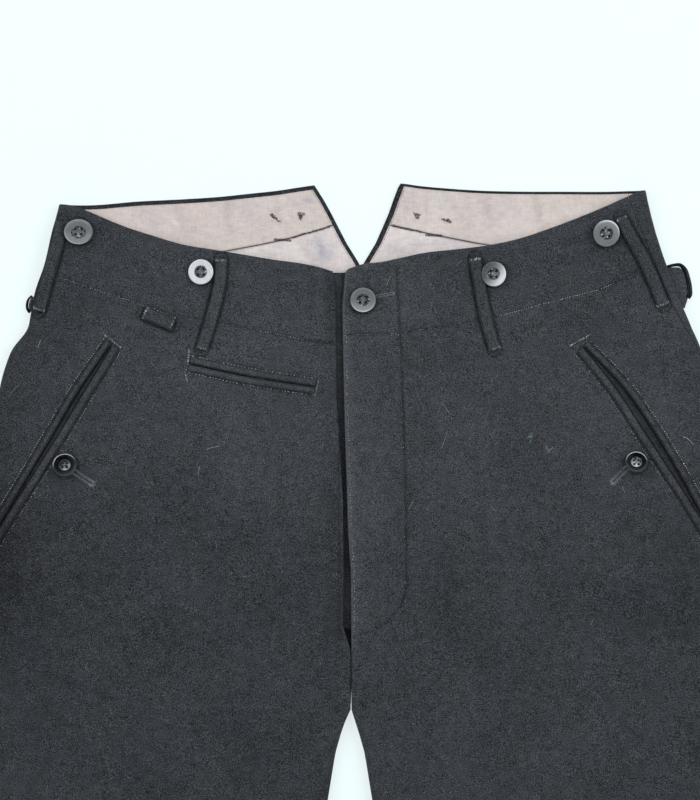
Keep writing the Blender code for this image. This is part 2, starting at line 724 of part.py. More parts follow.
def band_section(whole):
    """Ways round the band, and how far each is raised by the end it laps over."""
    middle = [whole - QUARTER * k / 3 for k in (3, 2, 1, 0)]
    over = [BAND_UNDER_END + (middle[0] - BAND_UNDER_END) * k / 4 for k in range(4)] + middle
    under = [-way for way in reversed(middle[:-1])]
    under += [under[-1] + (-QUARTER - under[-1]) * k / 3 for k in (1, 2)]
    under += [-QUARTER * k / 3 for k in (3, 2, 1)]
    lap = [QUARTER * k / 3 for k in (0, 1, 2, 3)]
    lap += [12.0, 18.0, 23.0, 28.0, 33.0, BAND_UNDER_END - 3, BAND_OVER_END - 12, BAND_OVER_END]
    raised = SEAM_GAP + BAND_WALL
    stations = [(way, 0.0) for way in over + under]
    return stations + [(way, raised * float(ease(*BAND_RAMP, way))) for way in lap]


def add_band(side, wool, horn):
    """Band round the hem, open near the side edge, with its ends lapped and buttoned."""
    outer, inner = [], []
    for y in (LEG_END_Y - SEAM_GAP, (LEG_END_Y + HEM_Y) / 2, HEM_Y):
        faces = ([], [])
        whole = float(way_round(side, BACK_INNER, y))
        for way, raised in band_section(whole):
            turned = min(abs(way), whole - abs(way), QUARTER) / FOLD_R
            over = 0.5 + 0.5 * math.copysign(math.sin(turned), way)
            lift = BAND_LIFT * over + raised
            for face, depth in zip(faces, (-lift, BAND_WALL - lift)):
                point = wall_point(side, BACK_INNER, np.array(y), np.array(way), np.array(depth))
                face.append(point)
        outer.append(faces[0])
        inner.append(faces[1])
    name = "knee_band_" + SIDE_NAME[side]
    add_wall(name, np.array(outer), np.array(inner), wool)
    y = (LEG_END_Y + HEM_Y) / 2
    out = float(side_edge(side, y)) - FOLD_R - (BAND_OVER_END - 12 - QUARTER)
    cloth = BAND_LIFT + SEAM_GAP + BAND_WALL
    button = "knee_button_" + SIDE_NAME[side]
    add_button(button, SIGN[side] * out, y, KNEE_BUTTON_R, 0.9, horn, (2.2, 0.7), cloth)


def build():
    for thing in list(bpy.data.objects):
        bpy.data.objects.remove(thing, do_unlink=True)
    wool = new_material("charcoal wool", (0.035, 0.038, 0.042), 0.9)
    cotton = new_material("beige cotton twill", (0.56, 0.49, 0.46), 0.85)
    horn = new_material("dark button", (0.05, 0.052, 0.055), 0.3)
    glossy = new_material("black glossy button", (0.01, 0.01, 0.012), 0.12)
    black = new_material("black japanned wire", (0.008, 0.008, 0.01), 0.25)
    add_panels(wool)
    add_cotton(cotton)
    add_shield(wool)
    add_loops(wool)
    add_pockets(wool)
    add_buttons(horn, glossy)
    add_cinches(wool, black)
    for side in (RIGHT, LEFT):
        add_band(side, wool, horn)


build()
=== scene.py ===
"""Finish of wool knee breeches laid flat: cloth, stitching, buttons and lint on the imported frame.

x runs to the wearer's left, y up the garment and z up from the table. Every size below is in
millimetres, and y is measured from the top of the centre front until a mesh is made.
"""

import math

import bpy
import numpy as np
from mathutils import Matrix, Vector


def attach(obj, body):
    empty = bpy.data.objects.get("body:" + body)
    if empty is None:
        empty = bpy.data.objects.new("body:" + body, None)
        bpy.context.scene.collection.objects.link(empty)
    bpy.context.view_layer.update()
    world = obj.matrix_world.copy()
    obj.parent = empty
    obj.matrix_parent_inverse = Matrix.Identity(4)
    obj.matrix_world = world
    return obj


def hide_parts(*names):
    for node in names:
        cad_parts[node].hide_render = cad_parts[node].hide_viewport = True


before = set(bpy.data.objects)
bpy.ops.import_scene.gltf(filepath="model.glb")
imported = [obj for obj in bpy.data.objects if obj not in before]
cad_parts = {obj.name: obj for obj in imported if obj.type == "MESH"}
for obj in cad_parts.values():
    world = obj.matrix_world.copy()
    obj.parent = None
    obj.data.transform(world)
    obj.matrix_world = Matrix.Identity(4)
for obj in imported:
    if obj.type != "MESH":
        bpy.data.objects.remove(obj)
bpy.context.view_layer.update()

MM = 0.001

# Cloth
WALL = 2.0  # fulled wool
LINING_WALL = 1.0
SEAM_GAP = 0.3
FLY_WALL = 3.2  # the front turned back on itself along the fly
BAND_WALL = 3.0

# How the layers lie
FOLD_R = 4.0  # outer radius of the fold down each side and each inseam
FRONT_Z = 6.0  # face of the front where it lies on the back
FOLD_RISE = 2.0 * FOLD_R - FRONT_Z
FOLD_REACH = 18.0  # how far in from it the front still stands higher
CALM_REACH = 9.0  # how far in the large folds fade out
LINING_Z = WALL + SEAM_GAP
SHIELD_Z = LINING_Z + LINING_WALL + SEAM_GAP
SHIELD_WALL = 1.4
FLY_RISE_LEFT = SHIELD_Z + SHIELD_WALL + SEAM_GAP + FLY_WALL - FRONT_Z
FLY_RISE_RIGHT = SHIELD_Z + SHIELD_WALL + SEAM_GAP + WALL - FRONT_Z
FLY_EDGE_LEFT = (39.0, 56.0)  # distance out over which the fly's thickness fades
FLY_EDGE_RIGHT = (22.0, 40.0)
FLY_PART_X = -7.0  # where one half's extra layers end and the other's begin

# Lengths down the garment
BACK_PEAK_Y = 55.4
FLY_END_Y = -238.0
FORK_Y = -292.0
LEG_END_Y = -610.0
HEM_Y = -640.0
MIDDLE_Y = (BACK_PEAK_Y + HEM_Y) / 2

RIGHT, LEFT = 1, 2  # the wearer's sides, which are also the columns of the tables below
SIGN = {RIGHT: -1.0, LEFT: 1.0}
SIDE_NAME = {RIGHT: "right", LEFT: "left"}

# y, then how far the side edge stands out from the middle: wearer's right, wearer's left
SIDE_EDGE = (
    (60.0, 190.2, 193.6),
    (42.0, 192.1, 197.2),
    (24.0, 196.9, 201.8),
    (2.5, 201.9, 208.9),
    (-16.5, 208.3, 216.0),
    (-30.0, 210.8, 221.7),
    (-40.0, 213.0, 226.0),
    (-54.0, 223.2, 232.2),
    (-66.0, 227.9, 236.5),
    (-85.0, 232.9, 242.0),
    (-130.0, 249.0, 254.0),
    (-190.0, 270.0, 271.0),
    (-250.0, 281.0, 281.0),
    (-305.0, 280.5, 280.5),
    (-360.0, 271.0, 271.0),
    (-430.0, 255.0, 255.0),
    (-500.0, 241.0, 241.0),
    (-560.0, 229.0, 229.0),
    (-610.0, 220.5, 220.5),
    (-640.0, 217.5, 217.5),
)
# distance out from the middle, then y of the front's top edge: right, left
FRONT_TOP_EDGE = (
    (-5.0, -2.6, -2.6),
    (3.0, -2.6, 1.2),
    (10.0, -2.4, 3.0),
    (20.0, 0.5, 3.9),
    (33.0, 3.2, 6.6),
    (50.0, 5.5, 10.2),
    (70.0, 8.9, 12.4),
    (90.0, 12.2, 14.9),
    (110.0, 15.5, 19.0),
    (130.0, 21.3, 25.5),
    (150.0, 27.9, 33.0),
    (172.0, 37.1, 42.2),
    (182.0, 40.9, 46.7),
    (192.0, 42.2, 51.0),
    (200.0, 42.4, 51.6),
)
# distance out from the middle, then y of the back's top edge: right, left
BACK_TOP_EDGE = (
    (20.0, 55.4, 55.9),
    (34.0, 53.4, 56.0),
    (46.0, 51.5, 54.4),
    (66.0, 49.3, 52.6),
    (86.0, 47.2, 51.3),
    (110.0, 45.6, 50.7),
    (140.0, 44.1, 50.6),
    (172.0, 41.6, 50.6),
    (182.0, 41.6, 50.9),
    (192.0, 42.2, 51.2),
    (200.0, 42.4, 51.6),
)
# y, then where each back piece stops towards the middle: the notch, the seat seam, the inseam
BACK_INNER = (
    (56.0, 24.4, 33.4),
    (54.0, 22.9, 31.9),
    (45.0, 17.2, 28.5),
    (36.0, 12.2, 25.4),
    (16.5, 2.2, 16.9),
    (5.0, -5.0, 10.0),
    (1.0, -7.2, 7.6),
    (-240.0, -2.4, 2.7),
    (-292.0, -0.55, 0.85),
    (-298.0, 2.5, 2.8),
    (-306.0, 5.5, 5.5),
    (-320.0, 9.5, 9.5),
    (-360.0, 16.0, 16.0),
    (-430.0, 24.0, 24.0),
    (-500.0, 31.0, 31.0),
    (-560.0, 37.0, 37.0),
    (-640.0, 44.5, 44.5),
)
# y, then where each front piece stops towards the middle: the fly, the front seam, the inseam
FRONT_INNER = (
    (3.2, 11.6, 9.0),
    (1.6, 11.6, 3.6),
    (0.0, 11.4, -0.6),
    (-2.6, 11.2, -3.2),
    (-25.0, 9.4, -5.2),
    (-53.0, 9.2, -4.7),
    (-87.0, 8.8, -4.0),
    (-113.0, 7.1, -3.3),
    (-153.0, 4.6, -1.9),
    (-168.0, 4.5, -1.6),
    (-186.0, 4.3, -0.6),
    (-200.0, 4.2, 0.5),
    (-236.0, 4.6, 0.7),
    (-252.0, -0.4, 0.85),
) + BACK_INNER[8:]
# y, then how far round from the side edge the side seam lies: right, left
SIDE_SEAM = (
    (52.0, -0.8, 15.4),
    (13.0, -0.8, 10.4),
    (-23.0, -0.8, 8.9),
    (-53.0, -0.8, 4.8),
    (-80.0, -0.8, 0.4),
    (-110.0, -0.8, -0.8),
    (-640.0, -0.8, -0.8),
)
# Largest folds of the front: x and y of each end, half width, rise (below nought is a trough)
FOLDS = (
    (-117.0, -84.0, -104.0, -118.0, 13.0, 1.6),
    (-104.0, -118.0, -58.0, -170.0, 15.0, 2.2),
    (-114.0, -104.0, -84.0, -152.0, 9.0, -1.2),
    (-84.0, -152.0, -42.0, -180.0, 10.0, -1.3),
    (-24.0, 0.0, -25.0, -48.0, 8.0, 1.0),
    (99.0, -146.0, 140.0, -153.0, 13.0, -1.2),
    (140.0, -153.0, 172.0, -136.0, 12.0, -1.0),
    (92.0, -112.0, 140.0, -124.0, 20.0, 1.6),
    (60.0, -188.0, 84.0, -262.0, 8.0, -1.4),
    (92.0, -196.0, 110.0, -262.0, 15.0, 2.2),
    (-216.0, -192.0, -196.0, -234.0, 13.0, -1.2),
    (-196.0, -206.0, -176.0, -268.0, 16.0, 2.0),
    (-20.0, -284.0, -96.0, -246.0, 9.0, -1.2),
    (-30.0, -306.0, -120.0, -282.0, 13.0, 2.0),
    (30.0, -300.0, 118.0, -290.0, 11.0, 1.8),
    (-232.0, -452.0, -150.0, -486.0, 12.0, 1.6),
    (-214.0, -512.0, -120.0, -526.0, 10.0, -1.1),
    (228.0, -470.0, 150.0, -494.0, 12.0, 1.5),
    (206.0, -540.0, 116.0, -520.0, 10.0, -1.1),
)

# Belt loops: name, then the middle line from its upper bar to its lower one
LOOP_WIDTH, LOOP_WALL = 7.8, 1.6
BELT_LOOPS = (
    ("belt_loop_side_right", ((-190.0, 30.5), (-192.2, 18.5), (-198.2, -3.0), (-205.2, -28.5))),
    ("belt_loop_front_right", ((-84.9, 6.0), (-85.8, -8.6), (-92.2, -35.6), (-97.9, -54.1))),
    ("belt_loop_front_left", ((82.6, 6.5), (86.6, -17.8), (90.0, -34.0), (95.7, -54.1))),
    ("belt_loop_side_left", ((178.6, 33.5), (183.2, 24.6), (194.4, 4.3), (207.0, -25.0))),
)
FOB_LOOP = ((-136.0, -29.5), (-116.5, -37.5))
FOB_LOOP_WIDTH = 8.0

# Pockets: the slit's line, and the welt along each side of it
WELT_WALL, SLIT = 1.4, 0.8
FOB_POCKET = ((-105.6, -63.4), (-68.6, -71.3), (-23.1, -78.5))
FOB_WELT = 4.4
SIDE_POCKETS = {
    RIGHT: ((-157.9, -50.4), (-180.5, -83.5), (-196.5, -110.8), (-212.1, -137.1), (-240.0, -184.0)),
    LEFT: ((154.2, -51.7), (180.1, -78.5), (199.9, -106.9), (216.9, -135.2), (243.0, -184.0)),
}
SIDE_WELT, FRONT_WELT = 3.7, 4.6
FACING_WALL = 1.0
FACING_SHOWN = FACING_WALL - 0.3  # its thickness in the mouth
FACING_SHADE = (0.0, -0.75)  # painted shade, as tone at the mouth's edge and at the slit
# How wide the pocket gapes at most, and how far down its length that is
GAPE = {RIGHT: (2.4, 0.30), LEFT: (4.6, 0.42)}

# Buttons: name, x, y, radius, how high it stands off the cloth
BRACE_BUTTONS = (
    ("brace_button_outer_right", -178.9, 23.8, 9.5, 2.4),
    ("brace_button_inner_right", -98.4, -2.6, 8.3, 0.9),
    ("brace_button_inner_left", 94.8, -4.0, 8.2, 2.4),
    ("brace_button_outer_left", 169.0, 22.8, 8.9, 0.9),
    ("waist_button", 8.6, -21.1, 8.4, 0.9),
)
POCKET_BUTTONS = (
    ("pocket_button_right", -188.1, -130.0, 8.0, 0.9),
    ("pocket_button_left", 188.8, -128.0, 7.4, 0.9),
)
KNEE_BUTTON_R = 7.4
BUTTON_H = 2.5

# Fly shield: its edges, both ways out from the middle
SHIELD_X = (-15.0, 32.0)
SHIELD_TOP_Y = -3.0
SHIELD_TAPER = 0.2  # share by which its foot is narrower
SHIELD_ROWS, SHIELD_COLUMNS = 60, 14

# Knee band: where its two ends lie, measured round from the side edge, and the ramp between
BAND_UNDER_END, BAND_OVER_END = 40.0, 64.0
BAND_RAMP = (16.0, 36.0)
BAND_BUTTON_IN = 12.0  # from the upper end in to its button
BAND_LIFT = 1.0
BAND_STITCH_IN = 2.6  # from each long edge to its row of stitches
BAND_ROWS, BAND_COLUMNS = 12, 330
STITCH_HOLLOW = 0.22  # how deep its two rows of stitches draw it in

QUARTER = FOLD_R * math.pi / 2


def along(table, column, where):
    """Smooth curve through one column of a table, against its first column."""
    rows = np.array(sorted(table))
    at, value = rows[:, 0], rows[:, column]
    slope = np.gradient(value, at)
    where = np.clip(where, at[0], at[-1])
    i = np.clip(np.searchsorted(at, where) - 1, 0, len(at) - 2)
    span = at[i + 1] - at[i]
    t = (where - at[i]) / span
    start = value[i] * (1 + 2 * t) * (1 - t) ** 2 + slope[i] * span * t * (1 - t) ** 2
    end = value[i + 1] * (3 - 2 * t) * t**2 - slope[i + 1] * span * (1 - t) * t**2
    return start + end


def straight(table, column, where):
    rows = np.array(sorted(table))
    return np.interp(where, rows[:, 0], rows[:, column])


def ease(low, high, value):
    """0 below low, 1 above high and a smooth step between."""
    t = np.clip((value - low) / (high - low), 0, 1)
    return t * t * (3 - 2 * t)


def bell(away, reach):
    """1 at nought and a smooth fall on both sides of it."""
    return np.exp(-((away / reach) ** 2))


def least(first, *others):
    for other in others:
        first = np.minimum(first, other)
    return first


def stacked(*parts):
    return np.stack(parts, axis=-1)


def side_edge(side, y):
    return along(SIDE_EDGE, side, y)


def along_either(table, x, where):
    """Like along, with the column of whichever side each x is on."""
    return np.where(x < 0, along(table, RIGHT, where), along(table, LEFT, where))


def past_fold(x, y):
    """How far a place lies in from the fold at its side edge, nought within it."""
    return np.maximum(along_either(SIDE_EDGE, x, y) - FOLD_R - np.abs(x), 0)


def past_inseam(x, y):
    return np.maximum(np.abs(x) - straight(BACK_INNER, LEFT, y) - FOLD_R, 0)


def legs(y):
    """0 above the fork and 1 in the legs, where the inseams are folded."""
    return 1 - ease(FORK_Y - 12, FORK_Y + 2, y)


def from_stretch(x, y, x0, y0, x1, y1):
    """Share of the way along a straight stretch at its place nearest a point, and how far off."""
    dx, dy = x1 - x0, y1 - y0
    t = np.clip(((x - x0) * dx + (y - y0) * dy) / (dx * dx + dy * dy), 0, 1)
    return t, np.hypot(x - x0 - t * dx, y - y0 - t * dy)


def folds(x, y):
    rise = 0.0
    for *ends, width, height in FOLDS:
        rise = rise + height * bell(from_stretch(x, y, *ends)[1], width)
    return rise


def beside_fly(y):
    """1 down the fly and 0 below its end."""
    return ease(FLY_END_Y - 26, FLY_END_Y - 4, y)


def fly_rise(x, y):
    """Extra height where the fly's layers lie under the front."""
    left = FLY_RISE_LEFT * (1 - ease(*FLY_EDGE_LEFT, x)) * (x > FLY_PART_X)
    right = FLY_RISE_RIGHT * (1 - ease(*FLY_EDGE_RIGHT, -x)) * (x <= FLY_PART_X)
    return (left + right) * beside_fly(y)


def front_z(x, y):
    """Height of the front's face, away from the folds at its edges."""
    from_edge = past_fold(x, y)
    rise = bell(from_edge, FOLD_REACH) + legs(y) * bell(past_inseam(x, y), FOLD_REACH)
    calm = 1 - bell(from_edge, CALM_REACH)
    return FRONT_Z + FOLD_RISE * rise + calm * folds(x, y) + fly_rise(x, y)


def face_z(x, y, lift=0.0):
    """Height above the table of a point that lies `lift` off the front's face, folds included."""
    x, y = np.asarray(x, float), np.asarray(y, float)
    centre = along_either(SIDE_EDGE, x, y) - FOLD_R
    over = np.clip(np.abs(x) - centre, 0, None)
    round_z = FOLD_R + np.sqrt(np.maximum((FOLD_R + lift) ** 2 - over**2, 0))
    return np.where(over > 0, round_z, front_z(x, y) + lift)


def way_round(side, table, y):
    """Length of the wall from the side edge to its inner end."""
    return side_edge(side, y) - straight(table, side, y) - 2 * FOLD_R + 2 * QUARTER


def wall_point(side, table, y, way, depth):
    """Point `depth` inside the outer face, `way` round from the side edge: + over, - under."""
    edge, inner = side_edge(side, y), straight(table, side, y)
    up = np.where(way >= 0, 1.0, -1.0)
    gone = np.abs(way)
    left = way_round(side, table, y) - gone
    turn_out = np.clip(gone / FOLD_R, 0, math.pi / 2)
    turn_in = np.clip(left / FOLD_R, 0, math.pi / 2)
    flat_out = np.where(
        left < QUARTER, inner + FOLD_R * left / QUARTER, edge - FOLD_R - (gone - QUARTER)
    )
    flat_z = np.where(up > 0, front_z(SIGN[side] * flat_out, y) - depth, depth)
    fork = legs(y) * (left < QUARTER)
    in_out = inner + FOLD_R - (FOLD_R - depth) * np.cos(turn_in)
    in_z = FOLD_R + up * (FOLD_R - depth) * np.sin(turn_in)
    out = flat_out + fork * (in_out - flat_out)
    z = flat_z + fork * (in_z - flat_z)
    rounding = gone < QUARTER
    out = np.where(rounding, edge - FOLD_R + (FOLD_R - depth) * np.cos(turn_out), out)
    z = np.where(rounding, FOLD_R + up * (FOLD_R - depth) * np.sin(turn_out), z)
    return stacked(SIGN[side] * out, y, z)


# ---------------------------------------------------------------- finer relief of the front

# Seams and top-stitching that draw the front in: right half, left half
WAIST_SEAM = {
    RIGHT: (
        (-192.0, -6.0), (-181.5, -9.9), (-163.7, -15.8), (-146.5, -21.1), (-128.7, -27.1),
        (-114.8, -31.0), (-101.6, -33.0), (-85.8, -35.6), (-71.3, -38.9), (-50.2, -43.2),
        (-27.1, -48.0), (-4.6, -50.6),
    ),
    LEFT: (
        (-2.0, -44.2), (23.1, -43.6), (33.7, -42.9), (45.5, -40.9), (58.7, -39.2),
        (87.1, -34.0), (100.3, -31.2), (125.4, -24.2), (147.2, -18.6), (163.7, -14.6),
        (177.5, -8.6), (190.0, -1.5),
    ),
}  # fmt: skip
FLY_SEAM = (
    (30.7, 1.0), (31.6, -20.0), (33.0, -44.0), (33.8, -62.0), (35.0, -93.0), (36.2, -130.0),
    (36.9, -170.0), (37.2, -202.6), (36.4, -216.5), (32.2, -224.6), (24.0, -233.5), (12.0, -240.5),
    (2.6, -243.0),
)  # fmt: skip
SEAM_WIDTH, SEAM_DEPTH = 1.3, 0.3
# From one pucker along a seam to the next, and from one strong run of them to the next
PUCKER, PUCKER_BEAT = 7.5, 31.0
PUCKER_RISE, PUCKER_REACH = 0.1, 4.5
GROOVE_OUT, GROOVE_WIDTH, GROOVE_DEPTH = 0.6, 0.85, 0.42  # beside a loop or welt
WAIST_PART_X = -3.2  # where the waist seam passes from one half to the other
FLY_SEAM_X = -4.0  # beyond it the fly's stitching doesn't draw the right half in
RELIEF_REACH = 7.0  # how far in from a fold the finer relief fades out
groove_lines = []  # filled once by grooves()

# Soft creases too small for the solids: x and y of each end, half width, rise
CREASES = (
    (-182.0, -30.0, -150.0, -44.0, 5.0, -0.35),
    (-160.0, -96.0, -128.0, -128.0, 7.0, 0.45),
    (-150.0, -112.0, -122.0, -150.0, 6.0, -0.4),
    (-126.0, -56.0, -112.0, -84.0, 6.0, 0.4),
    (-96.0, -66.0, -90.0, -100.0, 6.0, -0.3),
    (-44.0, -92.0, -50.0, -140.0, 8.0, 0.5),
    (-20.0, -96.0, -22.0, -150.0, 6.0, -0.35),
    (-14.0, -160.0, -26.0, -226.0, 7.0, 0.5),
    (-60.0, -196.0, -34.0, -238.0, 7.0, -0.5),
    (-140.0, -176.0, -168.0, -232.0, 9.0, 0.6),
    (-118.0, -196.0, -132.0, -262.0, 8.0, -0.5),
    (-212.0, -90.0, -228.0, -128.0, 5.0, -0.4),
    (52.0, -60.0, 50.0, -112.0, 6.0, 0.35),
    (62.0, -66.0, 66.0, -104.0, 7.0, -0.35),
    (52.0, -128.0, 62.0, -172.0, 6.0, 0.45),
    (116.0, -60.0, 134.0, -98.0, 8.0, 0.45),
    (150.0, -100.0, 120.0, -136.0, 7.0, -0.4),
    (176.0, -150.0, 142.0, -182.0, 8.0, 0.5),
    (190.0, -178.0, 152.0, -212.0, 7.0, -0.5),
    (128.0, -206.0, 152.0, -262.0, 9.0, 0.6),
    (20.0, -60.0, 22.0, -96.0, 4.0, 0.25),
    (8.0, -104.0, 12.0, -150.0, 4.5, 0.3),
    (18.0, -168.0, 14.0, -214.0, 4.5, -0.25),
    (112.0, -8.0, 118.0, -22.0, 6.0, 0.25),
    (-60.0, -8.0, -64.0, -30.0, 7.0, 0.25),
    (-128.0, 12.0, -132.0, -14.0, 6.0, -0.25),
    (-60.0, -300.0, -132.0, -326.0, 7.0, -0.9),
    (70.0, -312.0, 140.0, -322.0, 8.0, -0.9),
    (-90.0, -350.0, -60.0, -430.0, 9.0, 1.2),
    (-180.0, -340.0, -206.0, -408.0, 8.0, 1.1),
    (-150.0, -392.0, -128.0, -462.0, 7.0, -1.0),
    (88.0, -344.0, 66.0, -420.0, 8.0, 1.2),
    (176.0, -336.0, 198.0, -412.0, 8.0, 1.1),
    (140.0, -400.0, 118.0, -470.0, 7.0, -1.0),
    (-100.0, -492.0, -78.0, -548.0, 7.0, 0.9),
    (96.0, -486.0, 82.0, -552.0, 7.0, 0.9),
)
# Short creases that run up from the knee band: distance out, length, half width, rise
KNEE_CREASES = (
    (62.0, 46.0, 4.5, 0.8), (76.0, 30.0, 4.0, -0.6), (92.0, 58.0, 5.5, 0.9),
    (109.0, 34.0, 4.0, -0.6), (124.0, 44.0, 5.0, 0.7), (143.0, 62.0, 6.0, 0.9),
    (160.0, 36.0, 4.5, -0.7), (176.0, 50.0, 5.0, 0.8), (194.0, 30.0, 4.5, 0.6),
)  # fmt: skip
# Gentle unevenness all over: wavelength, direction in degrees, height
SWELLS = ((64.0, 20.0, 0.16), (47.0, 104.0, 0.14), (31.0, 61.0, 0.1), (23.0, 148.0, 0.07))


def line_distance(x, y, line):
    """Distance to a line of points, and how far along it the nearest place is."""
    best, place, start = np.full(np.shape(x), 1e9), np.zeros(np.shape(x)), 0.0
    for first, last in zip(line, line[1:]):
        length = math.dist(first, last)
        t, away = from_stretch(x, y, *first, *last)
        place = np.where(away < best, start + t * length, place)
        best = np.minimum(best, away)
        start += length
    return best, place


def drawn_in(x, y, line, phase):
    """The furrow along a sewn line, with the puckers beside it."""
    away, place = line_distance(x, y, line)
    pucker, beat = (np.sin(math.tau * place / pitch + phase) for pitch in (PUCKER, PUCKER_BEAT))
    puckers = PUCKER_RISE * (pucker * beat) * bell(away, PUCKER_REACH)
    return puckers - SEAM_DEPTH * bell(away, SEAM_WIDTH)


def ridges(x, y, table):
    """Creases that are deepest at their middle and fade towards both ends."""
    rise = 0.0
    for *ends, width, height in table:
        t, away = from_stretch(x, y, *ends)
        rise = rise + height * np.sin(math.pi * (0.15 + 0.7 * t)) * bell(away, width)
    return rise


def knee_creases(x, y):
    out, rise = np.abs(x), 0.0
    for place, length, width, height in KNEE_CREASES:
        up = y - LEG_END_Y
        rise = rise + height * bell(up, length) * bell(out - place - 0.1 * up, width)
    return rise


def swells(x, y):
    rise = 0.0
    for k, (length, turn, height) in enumerate(SWELLS):
        a = math.radians(turn)
        along_wave = x * math.cos(a) + y * math.sin(a) + 6.0 * np.sin((x - y) / 41.0 + k)
        rise = rise + height * np.sin(math.tau * along_wave / length + 1.7 * k)
    return rise


def grooves():
    """Lines that the cloth is drawn down along: the line, how far from it, strength."""
    lines = [(points, LOOP_WIDTH / 2 + GROOVE_OUT, 1.7) for _, points in BELT_LOOPS]
    for _, points in BELT_LOOPS:
        lines += [(ends, 0.0, 1.1) for ends in beyond_ends(points, LOOP_WIDTH / 2)]
    lines.append((FOB_LOOP, FOB_LOOP_WIDTH / 2 + GROOVE_OUT, 1.3))
    lines.append((offset_line(FOB_LOOP, -FOB_LOOP_WIDTH / 2 - 0.9), 0.0, 2.2))
    lines += [(ends, 0.0, 1.9) for ends in beyond_ends(FOB_LOOP, FOB_LOOP_WIDTH / 2)]
    lines += [(line, 0.0, 0.7) for line in WAIST_SEAM.values()]
    lines += [(WAIST_SEAM[RIGHT][-3:], 0.0, 1.6), (WAIST_SEAM[LEFT][:5], 0.0, 1.4)]
    lines.append((FLY_SEAM, 0.0, 1.5))
    lines.append((FOB_POCKET, SLIT / 2 + FOB_WELT + GROOVE_OUT, 1.0))
    lines.append((FOB_POCKET, 0.0, 2.3))
    for side, points in SIDE_POCKETS.items():
        welt_edge = SIGN[side] * (SLIT / 2 + SIDE_WELT + GROOVE_OUT)
        lines.append((offset_line(points, SIGN[side] * 0.15), 0.0, 1.5))
        lines.append((offset_line(points, welt_edge), 0.0, 0.6))
        lines.append((offset_line(points, front_welt_edge(side, GROOVE_OUT)), 0.0, 0.9))
    smooth = []
    for points, away, strength in lines:
        if 2 < len(points) < 6:
            points = route_at(points, np.linspace(0, route_length(points), 12))
        smooth.append((np.array(points), away, strength))
    return smooth


def beyond_ends(points, half):
    """A short line across a loop, just beyond each of its ends."""
    crossing = []
    for (x, y), (x1, y1) in ((points[0], points[1]), (points[-1], points[-2])):
        length = math.hypot(x - x1, y - y1)
        ux, uy = (x - x1) / length, (y - y1) / length
        x, y = x + 0.9 * ux, y + 0.9 * uy
        crossing.append(((x - half * uy, y + half * ux), (x + half * uy, y - half * ux)))
    return crossing


def drawn_down(x, y):
    """How deep in such a groove, or in the hollow round a button, a point lies."""
    depth = np.zeros(np.shape(x))
    if not groove_lines:
        groove_lines.extend(grooves())
    for line, out, strength in groove_lines:
        low, high = line.min(axis=0) - out - 5, line.max(axis=0) + out + 5
        near = (x > low[0]) & (x < high[0]) & (y > low[1]) & (y < high[1])
        away = line_distance(x[near], y[near], line)[0]
        depth[near] = np.maximum(depth[near], strength * bell(away - out, GROOVE_WIDTH))
    for _, bx, by, radius, _ in (*BRACE_BUTTONS, *POCKET_BUTTONS):
        away = np.maximum(np.hypot(x - bx - 0.4, y - by + 0.4) - radius + 0.8, 0)
        depth = np.maximum(depth, 1.3 * bell(away, 1.7))
    return depth


def relief(x, y):
    """What the finished front has beyond its solid's form; it dies out towards the side edges."""
    calm = 1 - bell(past_fold(x, y), RELIEF_REACH)
    calm = calm * (1 - legs(y) * bell(past_inseam(x, y), RELIEF_REACH))
    rise = ridges(x, y, CREASES) + knee_creases(x, y) + swells(x, y)
    right, left = (
        drawn_in(x, y, WAIST_SEAM[side], phase) for side, phase in ((RIGHT, 0.4), (LEFT, 2.0))
    )
    seam = np.where(x < WAIST_PART_X, right, left)
    fly = np.where(x > FLY_SEAM_X, drawn_in(x, y, FLY_SEAM, 1.1), 0.0)
    return calm * (rise + seam + fly) - GROOVE_DEPTH * drawn_down(x, y)


def cloth_z(x, y, lift=0.0):
    """Height above the table of a point `lift` off the finished front."""
    x, y = np.asarray(x, float), np.asarray(y, float)
    return face_z(x, y, lift) + relief(x, y)


# ---------------------------------------------------------------- meshes


def grid_faces(index):
    corners = index[:-1, :-1], index[:-1, 1:], index[1:, 1:], index[1:, :-1]
    return stacked(*corners).reshape(-1, 4)


def every_second(count):
    return np.unique([*range(0, count, 2), count - 1])


def round_grid(grid):
    return np.concatenate([grid[0, :-1], grid[:-1, -1], grid[-1, :0:-1], grid[:0:-1, 0]])


def wall_faces(rows, columns):
    """Faces of a closed wall: its outer grid, an inner grid of every second point, and the rim."""
    top = np.arange(rows * columns).reshape(rows, columns)
    few = every_second(rows), every_second(columns)
    under = rows * columns + np.arange(len(few[0]) * len(few[1])).reshape(len(few[0]), -1)
    spread = np.full((rows, columns), -1)
    spread[np.ix_(*few)] = under
    above, below = round_grid(top), round_grid(spread)
    stops = np.flatnonzero(below >= 0)
    rim = {4: [], 5: []}
    for start, stop in zip(stops, [*stops[1:], len(above)]):
        over = [above[k % len(above)] for k in range(stop, start - 1, -1)]
        face = [*over, below[start], below[stop % len(above)]]
        rim[len(face)].append(face)
    rims = [np.array(faces) for faces in rim.values() if faces]
    return [np.concatenate([grid_faces(top), grid_faces(under)[:, ::-1]]), *rims]


def signed_volume(points, face_sets):
    total = 0.0
    for faces in face_sets:
        for k in range(1, faces.shape[1] - 1):
            a, b, c = (points[faces[:, i]] for i in (0, k, k + 1))
            total += float(np.einsum("ij,ij->i", a, np.cross(b, c)).sum())
    return total


